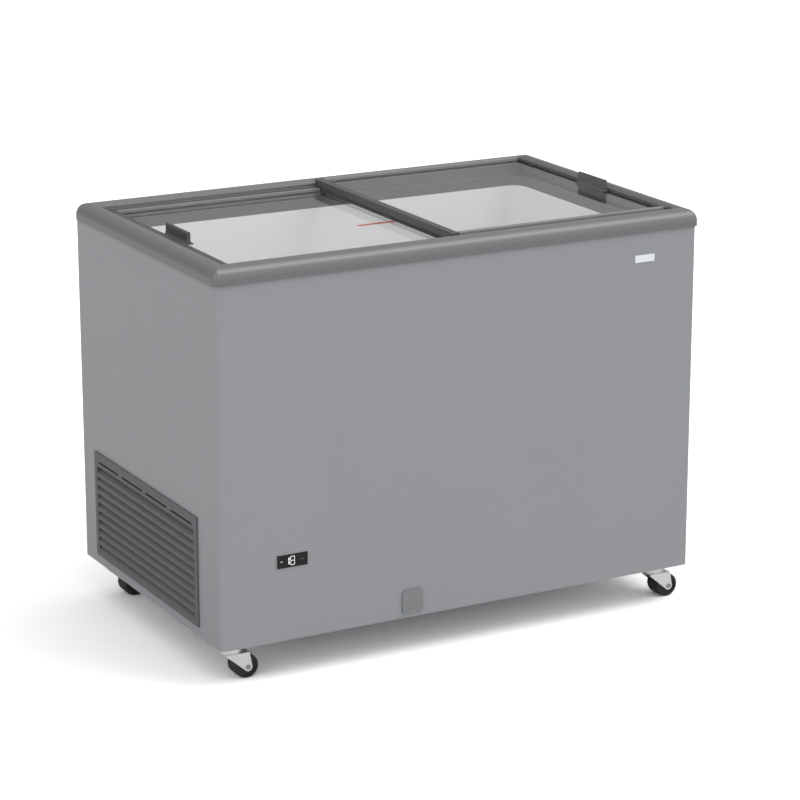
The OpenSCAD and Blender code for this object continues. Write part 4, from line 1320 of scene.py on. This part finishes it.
@dataclass
class DisplayPanel:
    """The small display on the front: a bezel, a smoked window and lit numerals.

    Attributes:
        bezel: How far the bezel stands out of the panel.
        rim: Width of the bezel round the window.
        sheet: Thickness of the window.
        digit: Height and width of a numeral.
        stroke: Width of a segment.
        glow: Thickness of a segment.
        mitre: What a segment's joints take off its length, in strokes.
        chamfer: What is cut off a segment's corners, as a share of its width.
        one_at: Place of the first numeral from the display's middle.
        eight_at: Place of the second numeral's left side.
        minus: Place, width and height of the minus sign.
        symbol: Place, width and height of the unlit symbol.
        bezel_corner: Radius of the bezel's corners.
        window_corner: Radius of the window's corners.
        soft: Radius of the bezel's and the window's edges.
        box_inset: Distance of the box behind the panel from the bezel's edge.
        box_wall: Thickness of its wall.
    """

    bezel: float = 1.5 * MM
    rim: float = 0.8 * MM
    sheet: float = 0.8 * MM
    digit: tuple[float, float] = (17.5 * MM, 9 * MM)
    stroke: float = 1.2 * MM
    glow: float = 0.3 * MM
    mitre: float = 0.7
    chamfer: float = 0.3
    one_at: float = -7 * MM
    eight_at: float = -4.2 * MM
    minus: Point = (-22 * MM, 5 * MM, 0.9 * MM)
    symbol: Point = (20 * MM, 6.5 * MM, 1.6 * MM)
    bezel_corner: float = 1.5 * MM
    window_corner: float = 0.8 * MM
    soft: float = 0.2 * MM
    box_inset: float = 2.3 * MM
    box_wall: float = 1.2 * MM

    def build(self) -> None:
        """Builds the display and dresses its board."""
        low, high = corners_of("display_housing")
        middle = (low + high) / 2
        self.build_bezel(low, high)
        window = add_box("smoked_window", (low.x + self.rim, low.y, low.z + self.rim),
                         (high.x - self.rim, low.y + self.sheet, high.z - self.rim))
        round_edges(window, Axis.Y, self.window_corner, 3)
        soften(window, self.soft, 2)
        place_piece(window, DISPLAY_WINDOW, "cabinet", "smoked_window", "display_window")
        self.build_numerals(middle.x, low.y, middle.z)
        dress_node("controller_board", BOARD_GREEN)

    def build_bezel(self, low: Vector, high: Vector) -> None:
        """Builds the bezel with its box behind the panel.

        Args:
            low: Lowest corner of the housing.
            high: Its highest corner.
        """
        face = low.y + self.bezel
        bezel = add_box("display_bezel", low, (high.x, face, high.z))
        round_edges(bezel, Axis.Y, self.bezel_corner)
        inner, wall = self.box_inset, self.box_wall
        box = add_box("box", (low.x + inner, face - LAP / 2, low.z + inner),
                      (high.x - inner, high.y, high.z - inner))
        combine(bezel, "UNION", [box])
        hollow = add_box("hollow", (low.x + inner + wall, low.y - PAST, low.z + inner + wall),
                         (high.x - inner - wall, high.y - wall, high.z - inner - wall))
        seat = add_box("seat", (low.x + self.rim, low.y - PAST, low.z + self.rim),
                       (high.x - self.rim, low.y + self.sheet, high.z - self.rim))
        combine(bezel, "DIFFERENCE", [hollow, seat])
        soften(bezel, self.soft, 2)
        place_piece(bezel, BEZEL_ABS, "cabinet", "dark_plastic", "display_housing")

    def build_numerals(self, x: float, face: float, z: float) -> None:
        """Builds the numerals and the minus sign, and one unlit symbol.

        Args:
            x: Middle of the display.
            face: Its front face.
            z: Its middle height.
        """
        tall, wide = self.digit
        one, eight = x + self.one_at, x + self.eight_at
        half = self.stroke / 2
        joint = self.stroke * self.mitre
        bars = [(one, z + side * tall / 5, 2 * self.stroke, tall / 2.5 - joint) for side in (-1, 1)]
        bars += [(eight + wide / 2, z + level * (tall / 2 - half), wide - 2 * self.stroke, self.stroke)
                 for level in (-1, 0, 1)]
        bars += [(eight + edge, z + side * tall / 4, self.stroke, tall / 2 - joint)
                 for edge in (half, wide - half) for side in (-1, 1)]
        minus_at, *minus_size = self.minus
        bars.append((x + minus_at, z, *minus_size))
        lit = [self.build_bar(bar, face) for bar in bars]
        numerals = join(lit[0], lit[1:])
        numerals.name = "lit_numerals"
        place_piece(numerals, LIT_DIGIT, "cabinet", "lit_white", "display_digits")
        symbol_at, *symbol_size = self.symbol
        symbol = self.build_bar((x + symbol_at, z, *symbol_size), face)
        symbol.name = "unlit_symbol"
        place_piece(symbol, DIM_SYMBOL, "cabinet", "dark_plastic")

    def build_bar(self, bar: tuple[float, float, float, float], face: float) -> Piece:
        """Builds one segment with bevelled ends.

        Args:
            bar: Its middle in X and Z, its width and its height.
            face: The window's front face.

        Returns:
            The segment.
        """
        x, z, width, height = bar
        piece = add_box("segment", (x - width / 2, face - self.glow, z - height / 2),
                        (x + width / 2, face, z + height / 2))
        round_edges(piece, Axis.Y, self.chamfer * min(width, height), 1)
        return piece


class Level(Enum):
    """The two lids, by name."""

    UPPER = "upper"
    LOWER = "lower"


@dataclass
class Lid:
    """A glass lid: pane, runners, end bars, handle and seal.

    Attributes:
        level: Whether it is the upper or the lower lid.
        runner: Width of its runners.
        edge: Radius of its bars' edges.
        ground: Radius of the pane's ground edges.
        fin: Thickness of the handle's fin.
        foot: Thickness of the handle's foot.
        fin_round: Radius of the fin's top, as a share of its thickness.
        handle_edge: Radius of the handle's other edges.
        flare_steps: How many steps draw the handle's flared foot.
    """

    level: Level
    runner: float
    edge: float = 1.4 * MM
    ground: float = 0.8 * MM
    fin: float = 7 * MM
    foot: float = 2 * MM
    fin_round: float = 0.45
    handle_edge: float = 0.8 * MM
    flare_steps: int = 6

    def node(self, part: str) -> str:
        """The CAD node's name of one part of this lid."""
        return f"{self.level.value}_{part}"

    @property
    def body(self) -> str:
        """The lid's CAD body."""
        return f"{self.level.value}_lid"

    def build(self) -> None:
        """Builds every part of the lid."""
        self.build_pane()
        self.build_bar("inner_bar", BAR_PVC if self.level is Level.UPPER else CLEAR_STRIP)
        self.build_bar("outer_bar", BAR_PVC)
        self.build_runners()
        self.build_handle()
        dress_node(self.node("seal"), SEAL_PILE)

    def build_pane(self) -> None:
        """Builds the pane with ground edges."""
        low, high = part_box(self.node("glass"))
        pane = add_box(self.node("pane"), low, high)
        soften(pane, self.ground, 2)
        place_piece(pane, LID_GLASS, self.body, "glass", self.node("glass"))

    def glass_cutter(self) -> Piece:
        """A box where the pane lies, which opens its slot in a bar."""
        low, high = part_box(self.node("glass"))
        return add_box("pane_slot", low, high)

    def build_bar(self, part: str, finish: Finish) -> None:
        """Builds an end bar: a rounded extrusion with a shallow channel along its top.

        Args:
            part: Which bar.
            finish: Its finish.
        """
        low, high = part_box(self.node(part))
        bar = add_box(f"{self.node(part)}_extrusion", low, high)
        soften(bar, self.edge)
        combine(bar, "DIFFERENCE", [self.glass_cutter()])
        place_piece(bar, finish, self.body, "bar_plastic", self.node(part))

    def build_runners(self) -> None:
        """Builds the front and rear runners."""
        low, high = corners_of(self.node("runners"))
        rails = []
        for start in (low.y, high.y - self.runner):
            rail = add_box(f"{self.node('runners')}_extrusion", (low.x, start, low.z),
                           (high.x, start + self.runner, high.z))
            soften(rail, self.edge)
            rails.append(combine(rail, "DIFFERENCE", [self.glass_cutter()]))
        both = join(rails[0], rails[1:])
        place_piece(both, RUNNER_PVC, self.body, "bar_plastic", self.node("runners"))

    def build_handle(self) -> None:
        """Builds the handle: a foot is extruded up in narrowing steps, which flare it, into a fin."""
        low, high = corners_of(self.node("handle"))
        middle = (low + high) / 2
        half = high.x - middle.x
        flare = half - self.fin / 2
        handle = add_box(f"{self.node('handle')}_moulding", low, (high.x, high.y, low.z + self.foot))
        width = half
        rise = 0.0
        with editing(handle):
            pick_end(handle, Axis.Z, 1)
            for step in range(1, self.flare_steps + 1):
                angle = math.pi / 2 * step / self.flare_steps
                next_rise = flare * (1 - math.cos(angle))
                next_width = half - flare * math.sin(angle)
                extrude((0, 0, next_rise - rise))
                bpy.ops.transform.resize(value=(next_width / width, 1, 1), center_override=middle)
                rise, width = next_rise, next_width
            extrude((0, 0, high.z - low.z - self.foot - rise))
            pick(handle, Part.EDGES, runs_along(Axis.Y, lambda at: at.z > high.z - 0.1 * MM))
            bevel(self.fin * self.fin_round, 5)
        soften(handle, self.handle_edge, 2, 60)
        place_piece(handle, HANDLE_ABS, self.body, "dark_plastic", self.node("handle"))


@dataclass
class Castor:
    """One swivel castor: fork, axle and wheel.

    Attributes:
        corner: Which corner of the cabinet it stands at.
        sheet: Thickness of the fork's sheet.
        edge: Radius of the sheet's edges.
        tip: Radius of a leg's tip.
        back: How far the legs reach behind the swivel axis at the crown.
        front: How far they reach in front of it.
        race: Radius of the ball race.
        race_height: Height of the race above the crown.
        race_ring: Width of the race's flat ring.
        race_dip: Width and depth of the step inside the ring.
        race_edge: Radius of the race's edges.
        axle: Radius of the axle.
        head: Radius and thickness of the axle's riveted heads.
        head_rim: Width of a head's rim.
        head_dip: Width and depth of the step inside the rim.
        head_edge: Radius of the head's edges.
        shoulder: Radius of the wheel's shoulders.
    """

    corner: str
    sheet: float = 2.5 * MM
    edge: float = 0.5 * MM
    tip: float = 8 * MM
    back: float = 18 * MM
    front: float = 28 * MM
    race: float = 22 * MM
    race_height: float = 9.7 * MM
    race_ring: float = 4 * MM
    race_dip: tuple[float, float] = (2 * MM, 1.5 * MM)
    race_edge: float = 1.2 * MM
    axle: float = 4 * MM
    head: tuple[float, float] = (4.6 * MM, 2 * MM)
    head_rim: float = 1.2 * MM
    head_dip: tuple[float, float] = (0.6 * MM, 0.7 * MM)
    head_edge: float = 0.4 * MM
    shoulder: float = 4 * MM

    @property
    def body(self) -> str:
        """The swivelling body."""
        return f"castor_{self.corner}"

    def build(self) -> None:
        """Builds the castor."""
        wheel_low, wheel_high = corners_of(f"wheel_{self.corner}")
        hub = (wheel_low + wheel_high) / 2
        self.build_fork(hub)
        self.build_axle(hub)
        self.build_wheel(hub, wheel_high.z - hub.z, wheel_high.y - wheel_low.y)

    def build_leg(self, hub: Vector, pivot: float, outer: float, crown: float) -> Piece:
        """Builds one leg: the hull of its edge at the crown and its round tip.

        Args:
            hub: Middle of the wheel.
            pivot: The swivel axis in X.
            outer: The leg's outer face in Y.
            crown: The crown's upper face.

        Returns:
            The leg.
        """
        inner = outer - math.copysign(self.sheet, outer - hub.y)
        y_low, y_high = min(outer, inner), max(outer, inner)
        leg = add_rod("leg", (hub.x, (y_low + y_high) / 2, hub.z), Axis.Y, self.tip, self.sheet, 32)
        edge = add_box("edge", (pivot - self.back, y_low, crown - self.sheet),
                       (pivot + self.front, y_high, crown))
        join(leg, [edge])
        with editing(leg):
            bpy.ops.mesh.select_all(action="SELECT")
            bpy.ops.mesh.convex_hull()
        return leg

    def build_fork(self, hub: Vector) -> None:
        """Builds the fork: two legs, the crown and the lower race.

        Args:
            hub: Middle of the wheel.
        """
        low, high = corners_of(f"fork_{self.corner}")
        pivot = low.x + self.race
        crown = high.z - self.race_height
        legs = [self.build_leg(hub, pivot, outer, crown) for outer in (low.y, high.y)]
        plate = add_box(f"castor_fork_{self.corner}", (pivot - self.back, low.y, crown - self.sheet),
                        (pivot + self.front, high.y, crown))
        race_at = (pivot, hub.y, (crown + high.z - LAP) / 2)
        race = add_rod("race", race_at, Axis.Z, self.race, high.z - crown + LAP)
        with editing(race):
            pick_end(race, Axis.Z, 1)
            inset(self.race_ring)
            width, depth = self.race_dip
            inset(width, -depth)
        soften(race, self.race_edge)
        combine(plate, "UNION", [*legs, race])
        soften(plate, self.edge, 2, 50)
        place_piece(plate, ZINC_PLATE, self.body, "zinc", f"fork_{self.corner}")

    def build_axle(self, hub: Vector) -> None:
        """Builds the axle with a riveted head at each end.

        Args:
            hub: Middle of the wheel.
        """
        low, high = corners_of(f"axle_{self.corner}")
        head_r, head_t = self.head
        axle = add_rod(f"castor_axle_{self.corner}", hub, Axis.Y, self.axle, high.y - low.y - 2 * head_t, 32)
        heads = []
        for end, side in ((low.y, 1), (high.y, -1)):
            head = add_rod("head", (hub.x, end + side * head_t / 2, hub.z), Axis.Y, head_r, head_t, 32)
            with editing(head):
                pick_end(head, Axis.Y, -side)
                inset(self.head_rim)
                width, depth = self.head_dip
                inset(width, -depth)
            soften(head, self.head_edge, 2)
            heads.append(head)
        join(axle, heads)
        place_piece(axle, DARK_ZINC, self.body, "zinc", f"axle_{self.corner}")

    def build_wheel(self, hub: Vector, radius: float, width: float) -> None:
        """Builds the wheel: rounded shoulders, a recessed web and a raised hub on each side.

        Args:
            hub: Its middle.
            radius: Its radius.
            width: Its width.
        """
        wheel = add_rod(f"castor_wheel_{self.corner}", hub, Axis.Y, radius, width, 64)
        rim, recess, hub_r = 1.5 * MM, 2.5 * MM, self.axle + 4 * MM
        slant, bore_lip = 0.6 * MM, 0.8 * MM
        boss, bore = (0.5 * MM, 0.3 * MM), (0.1 * MM, -3 * MM)
        web = radius - self.shoulder - rim - hub_r - 2 * slant
        with editing(wheel):
            pick(wheel, Part.EDGES, lambda edge: all(abs(abs(v.co.y - hub.y) - width / 2) < NEAR
                                                     for v in edge.verts))
            bevel(self.shoulder, 5)
        for side in (1, -1):
            with editing(wheel):
                pick_end(wheel, Axis.Y, side)
                inset(rim)
                inset(slant, -recess)
                inset(web)
                inset(slant, recess)
                inset(*boss)
                inset(hub_r - self.axle - bore_lip)
                inset(*bore)
        place_piece(wheel, WHEEL_BLACK, f"roller_{self.corner}", "wheel_black", f"wheel_{self.corner}")


@dataclass
class CastorMounts:
    """The castors' top plates and bolts, which stay with the cabinet.

    Attributes:
        plate: Width and depth of a plate.
        sheet: Its thickness.
        edge: Radius of its edges.
        race: Radius of the upper race.
        race_round: Radius of the race's edges.
        corner: Radius of the plate's corners.
        gap: Running gap between the upper and the lower race.
        pin: Radius of the king pin.
        pin_head: Radius and thickness of its head.
        head_edge: Radius of the head's edges.
    """

    plate: tuple[float, float] = (64 * MM, 56 * MM)
    sheet: float = 3 * MM
    edge: float = 0.5 * MM
    race: float = 18 * MM
    race_round: float = 1.5 * MM
    corner: float = 6 * MM
    gap: float = 0.3 * MM
    pin: float = 5 * MM
    pin_head: tuple[float, float] = (8 * MM, 3 * MM)
    head_edge: float = 0.8 * MM

    def build(self, castors: list[Castor]) -> None:
        """Builds the four plates and dresses the bolts.

        Args:
            castors: The castors under the plates.
        """
        low, high = corners_of("castor_plates")
        plates = [self.build_plate(castor, low.z, high.z) for castor in castors]
        all_plates = join(plates[0], plates[1:])
        all_plates.name = "castor_top_plates"
        place_piece(all_plates, DARK_ZINC, "cabinet", "zinc", "castor_plates")
        dress_node("castor_bolts", DARK_ZINC)

    def build_plate(self, castor: Castor, foot: float, top: float) -> Piece:
        """Builds one plate with its upper race and king pin.

        Args:
            castor: The castor under it.
            foot: Lowest point of the king pin's head.
            top: Upper face of the plate.

        Returns:
            The plate.
        """
        low, high = corners_of(f"fork_{castor.corner}")
        x, y = low.x + castor.race, (low.y + high.y) / 2
        wide, deep = self.plate
        plate = add_box("plate", (x - wide / 2, y - deep / 2, top - self.sheet),
                        (x + wide / 2, y + deep / 2, top))
        round_edges(plate, Axis.Z, self.corner, 5)
        soften(plate, self.edge, 2)
        race_foot = high.z + self.gap
        above = self.sheet - LAP
        race_at = (x, y, (race_foot + top) / 2 - above / 2)
        race = add_rod("upper_race", race_at, Axis.Z, self.race, top - above - race_foot)
        soften(race, self.race_round)
        pin_at = (x, y, (foot + top) / 2 - above / 2)
        pin = add_rod("king_pin", pin_at, Axis.Z, self.pin, top - above - foot, 32)
        head_r, head_t = self.pin_head
        head = add_rod("pin_head", (x, y, foot + head_t / 2), Axis.Z, head_r, head_t, 32)
        soften(head, self.head_edge)
        return combine(plate, "UNION", [race, pin, head])


@dataclass(frozen=True)
class Lamp:
    """One wide, distant lamp.

    Attributes:
        name: Its name.
        level: Brightness that it gives a white surface that faces it.
        towards: Direction from the object to the lamp.
        softness: Its angular width in degrees.
    """

    name: str
    level: float
    towards: Point
    softness: float


@dataclass
class Studio:
    """The stage: a pale floor, soft light and a camera where the photograph was taken.

    Attributes:
        camera_at: The camera's place.
        heading: How far it looks to the right of +Y, in degrees.
        dip: How far it looks down, in degrees.
        focal: Focal length in pixels of the picture.
        frame_px: Width of the picture in pixels.
        sensor: Width of the camera's sensor in millimetres.
        clip: How far the camera sees.
        bright_side: Direction from the object to the brighter half of the room.
        ambient: Light of the room's darkest and brightest sides.
        floor_size: Side of the floor.
        floor_seen: Brightness of the floor's paper where the camera sees it.
        floor_lit: The same for the light that it throws back.
        lamps: The key lamp and the weaker one at the left.
    """

    camera_at: Point = (-2.6142, -4.8506, 1.9966)
    heading: float = 28.617
    dip: float = 16.1435
    focal: float = 2952.4
    frame_px: float = 800.0
    sensor: float = 36.0
    clip: float = 100.0
    bright_side: Point = (0.30, -0.75, 0.60)
    ambient: tuple[float, float] = (0.30, 1.12)
    floor_size: float = 60.0
    floor_seen: float = 1.36
    floor_lit: float = 0.72
    lamps: tuple[Lamp, ...] = (Lamp("key_lamp", 0.24, (0.46, -0.34, 0.82), 30.0),
                               Lamp("left_lamp", 0.19, (-0.95, -0.3, 0.2), 60.0))

    def build(self) -> None:
        """Sets the stage."""
        bpy.context.scene.view_settings.view_transform = "Standard"
        self.build_camera()
        self.build_world()
        for lamp in self.lamps:
            self.build_lamp(lamp)
        self.build_floor()

    def build_camera(self) -> None:
        """Sets the camera."""
        data = bpy.data.cameras.new("camera")
        data.sensor_width = self.sensor
        data.lens = self.focal / self.frame_px * self.sensor
        data.clip_end = self.clip
        camera = bpy.data.objects.new("camera", data)
        camera.location = self.camera_at
        camera.rotation_euler = (math.radians(90 - self.dip), 0, -math.radians(self.heading))
        bpy.context.scene.collection.objects.link(camera)
        bpy.context.scene.camera = camera

    def seen(self, tree: Tree) -> Socket:
        """1 for rays of the camera, also through glass, and 0 for those that only carry light."""
        path = add_node(tree, "ShaderNodeLightPath").outputs
        return add_node(tree, "ShaderNodeMath", {
            0: path["Is Camera Ray"], 1: path["Is Transmission Ray"]}, operation="MAXIMUM").outputs[0]

    def build_world(self) -> None:
        """Sets the world: a room with a brighter side, and plain white where it is seen."""
        world = bpy.data.worlds.new("studio")
        world.use_nodes = True
        tree = world.node_tree
        tree.nodes.clear()
        towards = add_node(tree, "ShaderNodeTexCoord").outputs["Generated"]
        facing = add_node(tree, "ShaderNodeVectorMath", {
            0: towards, 1: Vector(self.bright_side).normalized()}, operation="DOT_PRODUCT").outputs["Value"]
        low, high = self.ambient
        strength = add_node(tree, "ShaderNodeMapRange", {
            "Value": facing, "From Min": -1.0, "From Max": 1.0, "To Min": low, "To Max": high}).outputs[0]
        lit = add_node(tree, "ShaderNodeBackground", {"Color": (1, 1, 1, 1), "Strength": strength}).outputs[0]
        white = add_node(tree, "ShaderNodeBackground", {"Color": (1, 1, 1, 1), "Strength": 1.0}).outputs[0]
        mixed = add_node(tree, "ShaderNodeMixShader", {0: self.seen(tree), 1: lit, 2: white}).outputs[0]
        add_node(tree, "ShaderNodeOutputWorld", {"Surface": mixed})
        bpy.context.scene.world = world

    def build_lamp(self, lamp: Lamp) -> None:
        """Sets one lamp."""
        data = bpy.data.lights.new(lamp.name, "SUN")
        data.energy = lamp.level * math.pi
        data.angle = math.radians(lamp.softness)
        light = bpy.data.objects.new(lamp.name, data)
        light.rotation_mode = "QUATERNION"
        light.rotation_quaternion = Vector(lamp.towards).to_track_quat("Z", "Y")
        bpy.context.scene.collection.objects.link(light)

    def build_floor(self) -> None:
        """Lays the floor: white paper that keeps the object's shadow."""
        bpy.ops.object.select_all(action="DESELECT")
        bpy.ops.mesh.primitive_plane_add(size=self.floor_size)
        floor = settle(bpy.context.object, "studio_floor")
        material = bpy.data.materials.new("white_paper")
        material.use_nodes = True
        tree = material.node_tree
        tree.nodes.clear()
        papers = [add_node(tree, "ShaderNodeBsdfDiffuse", {"Color": (level, level, level, 1)}).outputs[0]
                  for level in (self.floor_lit, self.floor_seen)]
        mixed = add_node(tree, "ShaderNodeMixShader", {
            0: self.seen(tree), 1: papers[0], 2: papers[1]}).outputs[0]
        add_node(tree, "ShaderNodeOutputMaterial", {"Surface": mixed})
        floor.data.materials.append(material)


def main() -> None:
    """Builds the freezer, sub-assembly by sub-assembly."""
    logging.basicConfig(level=logging.INFO, format="%(name)s: %(message)s")
    Studio().build()
    castors = [Castor(corner) for corner in ("front_left", "front_right", "rear_left", "rear_right")]
    for assembly in (Cabinet(), TopFrame(), StorageWell(), DrainCap(), MachineBay(), DisplayPanel(),
                     Lid(Level.UPPER, 12 * MM), Lid(Level.LOWER, 9 * MM), *castors):
        assembly.build()
    CastorMounts().build(castors)


if __name__ == "__main__":
    main()
